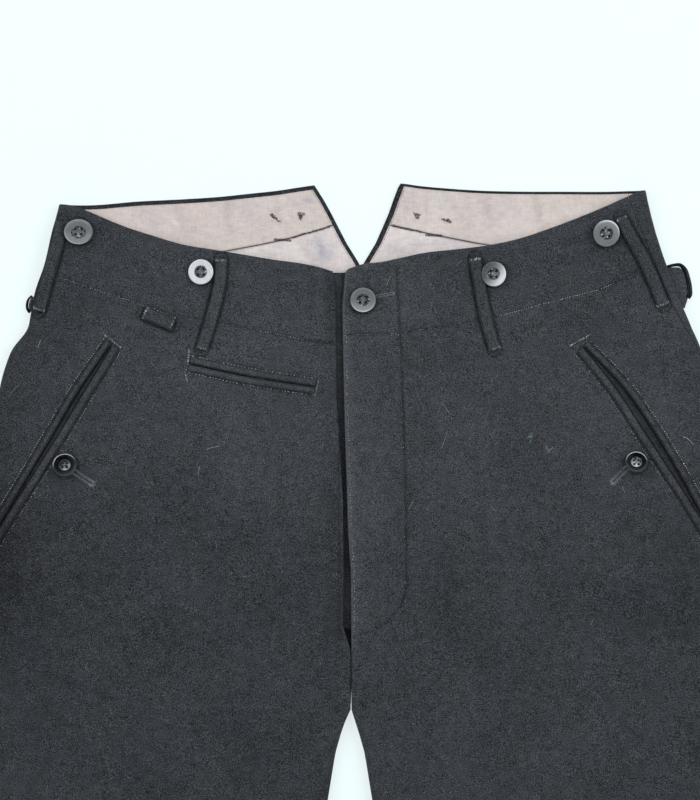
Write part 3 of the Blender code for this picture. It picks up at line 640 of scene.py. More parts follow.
def make_mesh(name, points, face_sets, material, marks=()):
    """Object from points in millimetres; marks are named values at each point."""
    points = np.asarray(points, float).reshape(-1, 3)
    if signed_volume(points, face_sets) < 0:
        face_sets = [faces[:, ::-1] for faces in face_sets]
    corners = np.concatenate([faces.ravel() for faces in face_sets])
    sizes = np.concatenate([np.full(len(faces), faces.shape[1]) for faces in face_sets])
    mesh = bpy.data.meshes.new(name)
    mesh.vertices.add(len(points))
    mesh.vertices.foreach_set("co", ((points - (0.0, MIDDLE_Y, 0.0)) * MM).ravel())
    mesh.loops.add(len(corners))
    mesh.loops.foreach_set("vertex_index", corners.astype(np.int32))
    mesh.polygons.add(len(sizes))
    mesh.polygons.foreach_set("loop_start", (np.cumsum(sizes) - sizes).astype(np.int32))
    mesh.update(calc_edges=True)
    mesh.shade_smooth()
    for mark, values in dict(marks).items():
        layer = mesh.attributes.new(mark, "FLOAT", "POINT")
        layer.data.foreach_set("value", np.asarray(values, np.float32).ravel())
    mesh.materials.append(material)
    made = bpy.data.objects.new(name, mesh)
    bpy.context.scene.collection.objects.link(made)
    return made


def dress(piece, slot, *nodes):
    """The piece rides on the body and stands for these nodes; slot is not used."""
    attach(piece, "root")
    if nodes:
        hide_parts(*nodes)
    return piece


def add_cloth(node, outer, inner, material, slot, rests_on, marks=()):
    """Closed cloth wall in place of a node."""
    rows, columns = outer.shape[:2]
    few = np.ix_(every_second(rows), every_second(columns))
    points = np.concatenate([outer.reshape(-1, 3), inner[few].reshape(-1, 3)])
    twice = {
        mark: np.concatenate([values.ravel(), values[few].ravel()])
        for mark, values in dict(marks).items()
    }
    made = make_mesh("cloth_" + node, points, wall_faces(rows, columns), material, twice)
    dress(made, slot, node)


EDGE_STEPS = np.array([0.0, 0.25, 0.6, 1.1])  # in from an edge, where its rounding needs points
EDGE_R = 0.8


def edge_drop(distance, radius=EDGE_R):
    """How far a rounded edge falls below the face, this near its end."""
    inside = np.clip(radius - distance, 0, radius)
    return radius - np.sqrt(np.maximum(radius**2 - inside**2, 0.0))


def places(length, count, down=False):
    """Places along a length, close at both ends, where the edge is rounded, and even between."""
    even, last = np.linspace(0, 1, count)[1:-1], EDGE_STEPS[-1]
    offset = np.concatenate([EDGE_STEPS, last * (1 - 2 * even), -EDGE_STEPS[::-1]])
    share = np.concatenate([0 * EDGE_STEPS, even, 0 * EDGE_STEPS + 1])
    if down:
        offset, share = offset[:, None], share[:, None]
    return np.minimum(1.0, length / (3 * last)) * offset + share * length


def tube_points(routes, radii, sides):
    """Points and faces of closed tubes along routes, which is count x stations x 3."""
    ahead = np.gradient(routes, axis=1)
    ahead /= np.linalg.norm(ahead, axis=2, keepdims=True) + 1e-9
    side = np.cross(ahead, (0.0, 0.02, 1.0))
    side /= np.linalg.norm(side, axis=2, keepdims=True) + 1e-9
    lift = np.cross(side, ahead)
    turn = math.tau * np.arange(sides) / sides
    spokes = np.cos(turn)[:, None] * side[:, :, None, :]
    spokes = spokes + np.sin(turn)[:, None] * lift[:, :, None, :]
    radii = np.broadcast_to(radii, routes.shape[:2])
    points = routes[:, :, None, :] + radii[:, :, None, None] * spokes
    index = np.arange(routes.shape[0] * routes.shape[1] * sides).reshape(*routes.shape[:2], sides)
    around = np.roll(index, -1, axis=2)
    walls = stacked(index[:, :-1], around[:, :-1], around[:, 1:], index[:, 1:])
    caps = np.concatenate([index[:, 0, ::-1], index[:, -1]])
    return points.reshape(-1, 3), [walls.reshape(-1, 4), caps]


def add_tubes(name, routes, radii, sides, material, tones):
    """Threads, hairs or wires as one piece; tones are one value for each of them."""
    points, faces = tube_points(routes, radii, sides)
    each = routes.shape[1] * sides
    return make_mesh(name, points, faces, material, {"tone": np.repeat(tones, each)})


def add_sewing(name, routes, radii, sides, material, tones):
    """Threads or hairs as one piece."""
    dress(add_tubes(name, routes, radii, sides, material, tones), "cotton")


# ---------------------------------------------------------------- fronts and backs

YOKE_Y = -72.0  # above this the rows bend to follow the top edge
YOKE_TOP_Y = 40.0  # about as high as the top edge reaches
WELL_IN = 40.0  # further from an edge than its rounding reaches
YOKE_PITCH, VIEW_PITCH, LEG_PITCH = 1.3, 1.9, 4.2  # from row to row, down the garment
VIEW_END_Y = -262.0
FRONT_COLUMNS, BACK_COLUMNS = 258, 110

# Painted light and shade on the wool, with some of its own mottling, as lighter and darker areas:
# x, y, reach across, reach down, gain
LIGHT_AND_SHADE_PATCHES = (
    (-236.0, -150.0, 28.0, 120.0, -0.46),
    (-232.0, -205.0, 26.0, 34.0, -0.24),
    (-196.0, -168.0, 20.0, 26.0, -0.2),
    (-186.0, -44.0, 20.0, 18.0, -0.1),
    (-130.0, -148.0, 34.0, 20.0, -0.16),
    (-64.0, -172.0, 20.0, 18.0, -0.2),
    (-60.0, -38.0, 30.0, 14.0, 0.12),
    (-18.0, -88.0, 20.0, 22.0, 0.12),
    (8.0, -165.0, 13.0, 75.0, 0.14),
    (34.0, -38.0, 26.0, 16.0, 0.1),
    (208.0, -92.0, 12.0, 20.0, 0.16),
    (210.0, -133.0, 12.0, 16.0, 0.12),
    (208.0, -220.0, 40.0, 22.0, -0.18),
    (160.0, -222.0, 20.0, 16.0, -0.14),
    (-204.0, -20.0, 24.0, 44.0, -0.16),
    (-150.0, 18.0, 70.0, 16.0, -0.14),
    (-85.0, -62.0, 42.0, 28.0, 0.24),
    (-62.0, -108.0, 46.0, 40.0, 0.12),
    (-150.0, -190.0, 70.0, 50.0, -0.10),
    (148.0, 10.0, 62.0, 15.0, -0.16),
    (40.0, -10.0, 18.0, 16.0, 0.1),
    (176.0, -28.0, 22.0, 34.0, -0.14),
    (232.0, -165.0, 26.0, 60.0, -0.18),
    (-94.0, -127.0, 10.0, 26.0, -0.08),
    (-79.0, -146.0, 12.0, 18.0, 0.12),
    (-30.0, -30.0, 12.0, 30.0, 0.06),
    (18.0, -120.0, 13.0, 110.0, 0.13),
    (120.0, -130.0, 80.0, 60.0, 0.04),
    (85.8, -107.0, 16.0, 18.0, 0.08),
    (138.6, -113.5, 22.0, 16.0, 0.08),
    (152.0, -150.0, 22.0, 10.0, -0.07),
    (66.0, -216.0, 6.0, 30.0, -0.22),
    (214.0, -46.0, 8.0, 22.0, 0.12),
)
LOWER_PAINTED_SHADE = {RIGHT: -0.20, LEFT: -0.14}  # painted shade: the wool darkens down the legs, where the light falls off towards the bottom
GROOVE_SHADE = 0.42  # painted shade down in the grooves and in the hollow round each button
SIDE_SEAM_CRISP = 0.35  # its edges are pressed, so they are less round than the others


def patches(x, y, table):
    """Sum of soft patches: x, y, reach across, reach down, strength."""
    return sum(
        gain * np.exp(-(((x - x0) / across) ** 2) - (((y - y0) / down) ** 2))
        for x0, y0, across, down, gain in table
    )


def light_and_shade_of(x, y, over=1.0):
    """Painted light and shade of the wool: lighter and darker areas, darker legs and painted shade
    in the grooves; `over` is nought where the grooves don't show.
    """
    tone = patches(x, y, LIGHT_AND_SHADE_PATCHES)
    lower = LOWER_PAINTED_SHADE[LEFT] + (LOWER_PAINTED_SHADE[RIGHT] - LOWER_PAINTED_SHADE[LEFT]) * (1 - ease(-20, 20, x))
    return tone + lower * (1 - ease(-235, -130, y)) - GROOVE_SHADE * drawn_down(x, y) * over


def way_over(side, y, count):
    """Way round of each of the front's columns, and distance to the nearer end of its row."""
    start = along(SIDE_SEAM, side, y) + SEAM_GAP / 2
    length = way_round(side, FRONT_INNER, y) - SEAM_GAP / 2 - start
    at = places(length, count)
    return start + at, np.minimum(at + SIDE_SEAM_CRISP, length - at)


def way_under(side, y, count):
    """The same for the back, from the side seam under the edge and in to the middle."""
    start = along(SIDE_SEAM, side, y) - SEAM_GAP / 2
    length = way_round(side, BACK_INNER, y) - SEAM_GAP / 2 + start
    at = places(length, count)
    return start - at, np.minimum(at + SIDE_SEAM_CRISP, length - at)


def panel_plan(side, inner_table, top_table, ways, count, coarse):
    """y, way round and distance to the nearest edge of each point of a panel."""
    deep = YOKE_TOP_Y - YOKE_Y
    bent = [(step, 1.0) for step in EDGE_STEPS]
    shares = np.linspace(1, 0, int(deep / YOKE_PITCH / coarse))[1:]
    bent += [(EDGE_STEPS[-1], share) for share in shares]
    drop, share = (np.array(column)[:, None] for column in zip(*bent))
    columns = count - 2 + 2 * len(EDGE_STEPS)
    y = np.full((len(bent), columns), YOKE_Y)
    for _ in range(12):
        way = ways(side, y, count)[0]
        out = wall_point(side, inner_table, y, way, 0.0)[..., 0] * SIGN[side]
        top = along(top_table, side, out)
        top = np.where(way > 0, np.minimum(top, along(FRONT_TOP_EDGE, side, out)), top)
        y = YOKE_Y + share * (top - drop - YOKE_Y)
    level = np.concatenate([
        np.arange(YOKE_Y - VIEW_PITCH, VIEW_END_Y, -VIEW_PITCH * coarse),
        np.arange(VIEW_END_Y, LEG_END_Y + 2, -LEG_PITCH * coarse),
        LEG_END_Y + EDGE_STEPS[::-1],
    ])  # fmt: skip
    down = np.concatenate([drop + WELL_IN * (share < 1), (level - LEG_END_Y)[:, None]])
    y = np.concatenate([y, np.repeat(level[:, None], columns, axis=1)])
    way, from_end = ways(side, y, count)
    return y, way, np.minimum(from_end, down)


def fly_light_and_shade(side, x, y):
    """The left front's edge is paler, partly worn and partly a painted highlight along the fly;
    beside it the right front has painted shadow, painted shade in a hollow and a painted highlight
    on a small ridge.
    """
    above_fork = ease(-268, -236, y)
    if side == LEFT:
        inside = np.maximum(x - straight(FRONT_INNER, LEFT, y), 0)
        # pale worn edge, and a broad painted highlight along the raised fly
        wear_and_painted_light = 0.42 * bell(inside - 0.7, 0.8) + 0.4 * bell(inside, 6.5)
        wear_and_painted_light = wear_and_painted_light + 0.14 * bell(inside - 2.5, 2.2) * (1 - ease(-125, -100, y))
        return wear_and_painted_light * above_fork
    # painted shadow cast by the left front's edge, and painted shade in the hollow beyond it
    painted_shadow_and_reflection = 0.2 * bell(x + 12.5, 4.0) + 0.3 * bell(x + 6.5, 3.0)
    hollow = 0.14 * bell(x + 13.0, 3.5) * ease(-48, -30, y)
    # with a painted highlight on the small ridge further out
    return above_fork * (0.14 * bell(x + 20.5, 2.4) * ease(-60, -20, y) - painted_shadow_and_reflection - hollow)


def add_front(side, wool):
    table = FRONT_INNER
    y, way, edge = panel_plan(side, table, FRONT_TOP_EDGE, way_over, FRONT_COLUMNS, 1.0)
    face = wall_point(side, table, y, way, 0.0)
    turned = (1 - ease(*FLY_EDGE_LEFT, face[..., 0])) * beside_fly(y)
    wall = WALL + (FLY_WALL - WALL) * turned * (side == LEFT)
    fall = edge_drop(edge, np.minimum(EDGE_R + 0.3 * (wall - WALL), wall / 2))
    outer = wall_point(side, table, y, way, fall)
    inner = wall_point(side, table, y, way, wall - 0.7 * fall)
    shown = 1.0
    if side == RIGHT:
        shown = ease(0.0, 7.0, straight(table, LEFT, y) - outer[..., 0])
    outer[..., 2] += relief(outer[..., 0], y) * shown
    tone = light_and_shade_of(outer[..., 0], y) + fly_light_and_shade(side, outer[..., 0], y)
    node = "front_" + SIDE_NAME[side]
    add_cloth(node, outer, inner, wool, "wool", ["cloth_back_" + SIDE_NAME[side]], {"tone": tone})


def add_back(side, wool):
    table = BACK_INNER
    y, way, edge = panel_plan(side, table, BACK_TOP_EDGE, way_under, BACK_COLUMNS, 1.5)
    fall = edge_drop(edge)
    outer = wall_point(side, table, y, way, 0.5 * fall)
    inner = wall_point(side, table, y, way, WALL - fall)
    outer[..., 2] += np.where(way > 0, relief(outer[..., 0], y), 0.0)
    tone = light_and_shade_of(outer[..., 0], y, way > 0) - 0.1 - 0.8 * np.exp(-((edge / 3.4) ** 4)) * (way < 0)
    add_cloth("back_" + SIDE_NAME[side], outer, inner, wool, "wool", [], {"tone": tone})


# ---------------------------------------------------------------- cotton inside the waist

FACING_INSET = {RIGHT: 2.9, LEFT: 1.8}
NOTCH_INSET = {RIGHT: 3.1, LEFT: 3.7}
FACING_OUT = {RIGHT: 178.0, LEFT: 192.6}
FACING_TUCK = 6.0
LINING_OUT = {RIGHT: 94.0, LEFT: 96.0}
# distance out, then y of the slanting seam between facing and seat lining: right, left
SLANT_SEAM = (
    (0.0, 32.0, 34.0),
    (10.0, 28.8, 32.0),
    (20.0, 25.2, 29.8),
    (29.0, 22.7, 27.7),
    (44.0, 18.6, 24.4),
    (56.0, 16.0, 21.8),
    (81.0, 11.2, 16.8),
    (100.0, 7.0, 13.0),
    (110.0, 4.0, 9.0),
)
COTTON_COLUMNS, COTTON_ROWS = 150, 46
COTTON_EDGE_R = 0.45
# Creases of the cotton: x and y of each end, half width, rise
COTTON_CREASES = (
    (-46.0, 35.5, -35.0, 24.0, 1.6, 0.30),
    (-50.0, 47.0, -47.0, 30.0, 2.4, -0.22),
    (-26.0, 50.0, -22.0, 34.0, 2.8, 0.35),
    (-20.0, 20.0, -12.0, 6.0, 3.0, 0.32),
    (-34.0, 18.0, -26.0, 4.0, 2.6, -0.24),
    (-66.0, 46.0, -60.0, 26.0, 3.0, 0.32),
    (-82.0, 44.0, -80.0, 22.0, 2.6, -0.24),
    (-96.0, 44.0, -92.0, 24.0, 3.4, 0.36),
    (-114.0, 42.0, -110.0, 22.0, 3.0, -0.26),
    (-132.0, 42.0, -126.0, 26.0, 3.6, 0.34),
    (-148.0, 41.0, -146.0, 32.0, 2.8, 0.24),
    (-118.0, 30.0, -72.0, 18.0, 2.2, 0.2),
    (-60.0, 16.0, -52.0, 8.0, 2.6, 0.26),
    (36.0, 50.0, 40.0, 32.0, 2.6, 0.34),
    (50.0, 48.0, 50.0, 30.0, 2.4, -0.24),
    (58.0, 36.0, 72.0, 24.0, 1.8, 0.28),
    (72.0, 49.0, 76.0, 26.0, 3.0, 0.34),
    (90.0, 48.0, 92.0, 26.0, 2.6, -0.24),
    (104.0, 47.0, 102.0, 24.0, 3.4, 0.34),
    (122.0, 46.0, 126.0, 28.0, 3.0, -0.26),
    (138.0, 47.0, 142.0, 34.0, 3.4, 0.32),
    (30.0, 22.0, 38.0, 8.0, 2.8, 0.34),
    (56.0, 20.0, 62.0, 11.0, 2.4, 0.22),
    (40.0, 14.0, 66.0, 17.0, 2.0, -0.2),
)
# Stains of the cotton: x, y, reach across, reach down, strength
STAINS = (
    (-16.6, 9.6, 7.0, 6.0, 0.62),
    (-21.5, 16.5, 5.5, 6.0, 0.45),
    (-27.5, 44.6, 9.0, 2.6, 0.42),
    (-40.0, 42.0, 5.0, 3.0, 0.2),
    (-70.0, 38.0, 14.0, 9.0, 0.16),
    (-128.0, 36.0, 16.0, 8.0, 0.14),
    (62.7, 18.5, 9.0, 5.0, 0.30),
    (38.0, 44.0, 7.0, 6.0, 0.22),
    (96.0, 40.0, 18.0, 9.0, 0.16),
    (30.0, 12.0, 8.0, 5.0, 0.2),
)


def cotton_relief(x, y):
    """Creases of the cotton where it lies open, above the top edge of the front."""
    rise = 1.5 * ridges(x, y, COTTON_CREASES)
    rise = rise + 0.05 * np.sin(x / 2.3 + 0.12 * y) * np.sin(x / 19.0 + 1.0)
    out = np.abs(x)
    front, back = (along_either(edge, x, out) for edge in (FRONT_TOP_EDGE, BACK_TOP_EDGE))
    return rise * ease(front + 0.5, front + 6.0, y) * (1 - ease(back - 5.0, back - 2.5, y))


def cotton_z(x, y):
    return LINING_Z + LINING_WALL + cotton_relief(x, y)


def cotton_plan(side, low, high, reach):
    """x and y over the back between two heights, and distance to the nearest edge."""
    size = 2 * len(EDGE_STEPS) - 2
    y = np.full((COTTON_ROWS + size, COTTON_COLUMNS + size), 20.0)
    for _ in range(14):
        start = straight(BACK_INNER, side, y) + NOTCH_INSET[side]
        at = places(reach - start, COTTON_COLUMNS)
        out = start + at
        height = high(out) - low(out)
        down = places(height, COTTON_ROWS, down=True)
        y = low(out) + down
    from_side = np.minimum(at, reach - start - at)
    return SIGN[side] * out, y, least(from_side, down, height - down)


def add_cotton(side, facing_cotton, lining_cotton):
    def tuck(out):
        return along(FRONT_TOP_EDGE, side, out) - FACING_TUCK

    def slant(out):
        return along(SLANT_SEAM, side, out)

    def facing_low(out):
        return np.where(out < 108, np.maximum(tuck(out), slant(out) + SEAM_GAP), tuck(out))

    def facing_high(out):
        return along(BACK_TOP_EDGE, side, out) - FACING_INSET[side]

    pieces = (
        ("waist_facing_", facing_cotton, facing_low, facing_high, FACING_OUT[side]),
        ("seat_lining_", lining_cotton, tuck, slant, LINING_OUT[side]),
    )
    for name, cotton, low, high, reach in pieces:
        x, y, edge = cotton_plan(side, low, high, reach)
        fall = edge_drop(edge, COTTON_EDGE_R)
        outer = stacked(x, y, cotton_z(x, y) - fall)
        inner = stacked(x, y, LINING_Z + 0.3 * fall)
        stain = patches(x, y, STAINS)
        # painted shade: dark along the gap of the slanting seam, at the cotton's edges and down in
        # the troughs of its creases
        along_seam = np.abs(y - along(SLANT_SEAM, side, np.abs(x))) * 0.95
        painted_cotton_shade = 0.34 * bell(along_seam, 0.8) + 0.16 * bell(edge, 0.9)
        painted_cotton_shade = painted_cotton_shade + 0.5 * np.maximum(-ridges(x, y, COTTON_CREASES), 0)
        back = "cloth_back_" + SIDE_NAME[side]
        marks = {"stain": stain, "painted_cotton_shade": painted_cotton_shade}
        add_cloth(name + SIDE_NAME[side], outer, inner, cotton, "cotton", [back], marks)


# ---------------------------------------------------------------- pieces that lie on the front


def route_length(points):
    return float(np.hypot(*np.diff(np.array(points, float), axis=0).T).sum())


def reached(points):
    """Length of a route up to each of its points."""
    return np.concatenate([[0], np.cumsum(np.hypot(*np.diff(points, axis=0).T))])


def route_at(points, at):
    """Places on a smooth curve through a few points, at lengths measured along their chords."""
    points = np.array(points, float)
    reach = reached(points)
    if len(points) == 2:
        return np.stack([np.interp(at, reach, points[:, k]) for k in (0, 1)], axis=-1)
    table = [(reach[i], *points[i]) for i in range(len(points))]
    return np.stack([along(table, k, at) for k in (1, 2)], axis=-1)


def sideways(route):
    """Unit vectors to the left of a route."""
    ahead = np.gradient(route, axis=0)
    ahead /= np.linalg.norm(ahead, axis=1, keepdims=True)
    return stacked(-ahead[:, 1], ahead[:, 0])


LINE_STEP = 2.0  # from point to point of a line beside a route


def offset_line(points, offset, start=0.0, end=0.0):
    """Line beside a route; start and end shorten it, or lengthen it below nought."""
    whole = route_length(points)
    at = np.linspace(start, whole - end, max(2, int(whole / LINE_STEP)))
    inside = np.clip(at, 0, whole)
    route = route_at(points, inside)
    left = sideways(route)
    ahead = stacked(left[:, 1], -left[:, 0])
    offset = offset(at / whole) if callable(offset) else np.full(len(at), offset)
    return route + left * offset[:, None] + ahead * (at - inside)[:, None]


def add_strip(
    node, points, offsets, wall, material, arch=0.0, crown=0.0, roll=0.6, pinch=0.0, shade=(0, 0)
):
    """Strip of cloth on the front; offsets are its two edges, to the left of the route."""
    whole = route_length(points)
    at = places(whole, max(8, int(whole / 1.6)))
    route = route_at(points, at)
    left = sideways(route)
    low, high = (
        offset(at / whole) if callable(offset) else np.full(len(at), offset) for offset in offsets
    )
    width = (high - low)[:, None]
    columns = max(5, int(width.max() / 0.55))
    across = places(width, columns)
    plan = route[:, None, :] + left[:, None, :] * (low[:, None] + across)[..., None]
    from_end = np.minimum(at, whole - at)[:, None]
    inside = np.minimum(across, width - across)
    fall = edge_drop(np.minimum(inside, from_end), min(roll, wall / 2))
    bow = arch * np.sin(math.pi * at / whole)[:, None]
    flat = pinch * bell(from_end, 1.6)
    top = SEAM_GAP + bow + wall + crown * np.sin(math.pi * across / width) - fall - flat
    under = SEAM_GAP + bow + 0.5 * fall
    grids = [
        np.concatenate([plan, cloth_z(plan[..., 0], plan[..., 1], lift)[..., None]], axis=-1)
        for lift in (top, under)
    ]
    grids[1][..., 2] = np.minimum(grids[1][..., 2], grids[0][..., 2] - 0.3)
    # painted shadow along the very edges of a strip, where it stands off the cloth, and a paler
    # band just inside them
    painted_edge_light_and_shade = 0.1 * bell(inside - 1.6, 0.9) - 0.35 * bell(inside, 0.6)
    share = across / width
    shaded = shade[0] * (1 - share) ** 2 + shade[1] * share**2
    tone = painted_edge_light_and_shade + light_and_shade_of(plan[..., 0], plan[..., 1]) + shaded
    side = "right" if plan[..., 0].mean() < 0 else "left"
    add_cloth(node, *grids, material, "wool", ["cloth_front_" + side], {"tone": tone})


def add_loops(wool):
    half = LOOP_WIDTH / 2
    for name, points in BELT_LOOPS:
        add_strip(name, points, (-half, half), LOOP_WALL, wool, 0.8, 0.9, 0.8, 0.6)
    half = FOB_LOOP_WIDTH / 2
    add_strip("fob_loop", FOB_LOOP, (-half, half), LOOP_WALL, wool, 0.9, 1.0, 0.8, 0.3)


def gape_of(side):
    """How far the pocket's mouth opens, by share of its length."""
    widest, at = GAPE[side]

    def gape(share):
        down = np.clip(share, 0, 1) ** (math.log(0.5) / math.log(at))
        return SLIT + 0.4 + widest * np.sin(math.pi * down) ** 1.5

    return gape


def front_welt_edge(side, beyond=0.0):
    """How far the front welt's outer edge lies from the slit, by share of its length."""
    gape = gape_of(side)

    def offset(share):
        return SIGN[side] * (SLIT / 2 - gape(share) - SEAM_GAP - FRONT_WELT - beyond)

    return offset


def add_side_pocket(side, wool, facing):
    """The welt on each side of the slit, and the facing that shows where the mouth gapes."""
    out, gape, half = SIGN[side], gape_of(side), SLIT / 2

    def mouth(share):
        return out * (half - gape(share))

    def inner(share):
        return out * (half - gape(share) - SEAM_GAP)

    side_welt = (out * half, out * (half + SIDE_WELT))
    front_welt = (front_welt_edge(side), inner)
    for part, edges, wall, cloth, crown, shade in (
        ("side_welt_", side_welt, WELT_WALL, wool, 0.8, (0, 0)),
        ("facing_", (mouth, -out * half), FACING_SHOWN, facing, 0.0, FACING_SHADE),
        ("front_welt_", front_welt, WELT_WALL, wool, 0.8, (0, 0)),
    ):
        node = "side_pocket_" + part + SIDE_NAME[side]
        ordered = {"offsets": edges[:: int(out)], "shade": shade[:: int(out)]}
        add_strip(node, SIDE_POCKETS[side], wall=wall, material=cloth, crown=crown, **ordered)


def add_pockets(wool, facing):
    half = SLIT / 2
    for name, edges in (("upper", (half, half + FOB_WELT)), ("lower", (-half - FOB_WELT, -half))):
        add_strip("fob_pocket_welt_" + name, FOB_POCKET, edges, WELT_WALL, wool, 0, 0.7)
    for side in SIDE_POCKETS:
        add_side_pocket(side, wool, facing)


def add_stand(wool):
    """The button stand of the fly, between the fronts and the back."""
    low, high = SHIELD_X
    y = SHIELD_TOP_Y - places(SHIELD_TOP_Y - FLY_END_Y, SHIELD_ROWS)[:, None]
    across = places(high - low, SHIELD_COLUMNS)[None, :]
    x = (low + across) * (1 - SHIELD_TAPER * ease(-FLY_END_Y - 20, -FLY_END_Y - 16, -y))
    edge = least(across, high - low - across, SHIELD_TOP_Y - y, y - FLY_END_Y)
    fall = edge_drop(edge, SHIELD_WALL / 2)
    y = y + 0 * x
    outer = stacked(x, y, SHIELD_Z + SHIELD_WALL - fall)
    inner = stacked(x, y, SHIELD_Z + fall * 0.9)
    # painted shade: the stand darkens downwards and towards the fly's edge, where it shows in the
    # shadowed gap
    tone = -0.3 - 0.28 * ease(20, 90, -y) - 0.25 * bell(x + 3.5, 2.5)
    rests_on = ["cloth_back_right", "cloth_back_left"]
    add_cloth("fly_shield", outer, inner, wool, "wool", rests_on, {"tone": tone})


# ---------------------------------------------------------------- side cinches and knee bands

# y of each station down the tab, then how far its end stands out from the middle
CINCH_TABS = {
    LEFT: (
        (0.6, 217.4), (-1.2, 219.8), (-6.3, 222.1), (-13.5, 223.5), (-17.4, 223.6), (-21.0, 223.0),
        (-23.4, 222.2), (-26.4, 221.3),
    ),
    RIGHT: ((-18.8, 210.2), (-21.0, 211.5), (-24.0, 212.3), (-27.0, 212.2), (-28.6, 211.4)),
}
CINCH_BUCKLES = {
    LEFT: (
        (209.6, 0.9), (213.8, 2.0), (218.1, 2.1), (221.0, -0.6), (223.1, -6.3), (224.5, -13.5),
        (224.5, -17.4), (223.2, -19.6),
    ),
    RIGHT: ((210.2, -18.2), (212.4, -20.4), (213.4, -23.6), (213.2, -27.0), (211.6, -29.4)),
}  # fmt: skip
# Radius of the wire at its upper end, where its coating is chipped, and at its thickest
BUCKLE_WIRE = {LEFT: (1.0, 1.7), RIGHT: (0.7, 0.9)}
WIRE_SIDES, WIRE_STATIONS = 20, 60
TAB_ROWS, TAB_COLUMNS = 40, 18
TAB_Z, TAB_WALL = 0.6, 1.6


def add_cinches(wool, black):
    """A cloth tab under each side edge and the wire buckle in its end."""
    for side in (RIGHT, LEFT):
        stations = CINCH_TABS[side]
        y = np.linspace(stations[0][0], stations[-1][0], TAB_ROWS)
        tip = along(stations, 1, y)
        root = side_edge(side, y) + 0.15
        width = (tip - root)[:, None]
        at = places(width, TAB_COLUMNS)
        long = abs(y - y[0])[:, None]
        edge = least(at + 2, width - at, long, long[::-1])
        fall = edge_drop(edge, 0.75)
        x = SIGN[side] * (root[:, None] + at)
        y = y[:, None] + 0 * x
        swell = 0.25 * np.sin(math.pi * at / width)
        outer = stacked(x, y, TAB_Z + TAB_WALL + swell - fall)
        inner = stacked(x, y, TAB_Z + 0.8 * fall)
        name = SIDE_NAME[side]
        rests_on, marks = ["cloth_back_" + name], {"tone": 0.25 + 0 * x}
        add_cloth("cinch_tab_" + name, outer, inner, wool, "wool", rests_on, marks)
        points = [(SIGN[side] * out, y) for out, y in CINCH_BUCKLES[side]]
        route = route_at(points, np.linspace(0, route_length(points), WIRE_STATIONS))
        thin, thick = BUCKLE_WIRE[side]
        radius = thin + (thick - thin) * ease(0.1, 0.5, np.linspace(0, 1, len(route)))
        z = np.full((len(route), 1), max(TAB_Z + TAB_WALL / 2, thick))
        route = np.concatenate([route, z], axis=1)[None]
        made = add_tubes("buckle_" + name, route, radius[None], WIRE_SIDES, black, [0.0])
        dress(made, "black_wire", "cinch_buckle_" + name)


def add_band(side, wool):
    """Band round the hem, open near the side edge, with its ends lapped."""
    height = LEG_END_Y - SEAM_GAP - HEM_Y
    down = places(height, BAND_ROWS, down=True)
    y = LEG_END_Y - SEAM_GAP - down
    whole = float(way_round(side, BACK_INNER, LEG_END_Y))
    length = 2 * whole + BAND_OVER_END - BAND_UNDER_END
    at = places(length, BAND_COLUMNS)[None, :]
    unrolled = BAND_UNDER_END + at
    y = y + 0 * at
    whole = way_round(side, BACK_INNER, y)
    lapping = unrolled - 2 * whole[0, 0] + 2 * whole
    turned_in = unrolled * whole / whole[0, 0]
    turned_in = np.where(at > length - BAND_OVER_END, lapping, turned_in)
    way = np.where(turned_in <= whole, turned_in, turned_in - 2 * whole)
    lapped = turned_in > 2 * whole
    raised = np.where(lapped, (SEAM_GAP + BAND_WALL) * ease(*BAND_RAMP, way), 0.0)
    turned = least(np.abs(way), whole - np.abs(way), QUARTER) / FOLD_R
    over = 0.5 + 0.5 * np.sign(way) * np.sin(turned)
    lift = BAND_LIFT * over + raised
    edge = least(down, height - down, at, length - at)
    fall = edge_drop(edge, 0.9)
    stitched = STITCH_HOLLOW * bell(np.minimum(down, height - down) - BAND_STITCH_IN, 0.9)
    outer = wall_point(side, BACK_INNER, y, way, fall + stitched * over - lift)
    inner = wall_point(side, BACK_INNER, y, way, BAND_WALL - lift - 0.5 * fall)
    rests_on = ["cloth_front_" + SIDE_NAME[side], "cloth_back_" + SIDE_NAME[side]]
    add_cloth("knee_band_" + SIDE_NAME[side], outer, inner, wool, "wool", rests_on)


# ---------------------------------------------------------------- buttons

BUTTON_FACETS = 64
HOLE_R, HOLE_FACETS = 0.95, 14
THREAD_R = 0.14
SHANK_R = 2.4
SEAT_REACH = 7.0  # how far out the slope of the cloth under a button is taken
# As shares of a button's radius: where its rim starts, and how far out each way its holes lie
HORN_RIM, DISH_RIM = 0.5, 0.47
HORN_HOLES, DISH_HOLES = 0.215, 0.19
# How deep the middle lies below the rim of a flat button and of a dished one
HORN_DEPTH, DISH_DEPTH = 1.26, 1.5

# How each button hangs on its threads and how light is painted on it: degrees that it leans and the
# direction that it leans towards, the direction of its side painted lighter and how pale it is
# there, and the direction of the painted highlight arc along its edge
BUTTON_LOOKS = {
    "brace_button_outer_right": (34.0, -92.0, -115.0, -0.1, -115.0),
    "brace_button_inner_right": (5.0, 150.0, 200.0, 0.15, -60.0),
    "waist_button": (19.0, -88.0, -90.0, 1.1, -90.0),
    "brace_button_inner_left": (10.0, -160.0, -32.0, 5.0, -40.0),
    "brace_button_outer_left": (16.0, -40.0, 60.0, 0.6, 60.0),
    "pocket_button_right": (24.0, 98.0, -50.0, 6.0, 112.0),
    "pocket_button_left": (26.0, 84.0, -110.0, 6.0, 88.0),
}


def button_lift(radius, stand, lean):
    """How much higher a leaning button stands, so that its low edge clears the cloth."""
    return max(0.0, (radius - 1.1) * math.sin(math.radians(lean)) - stand + 0.3)


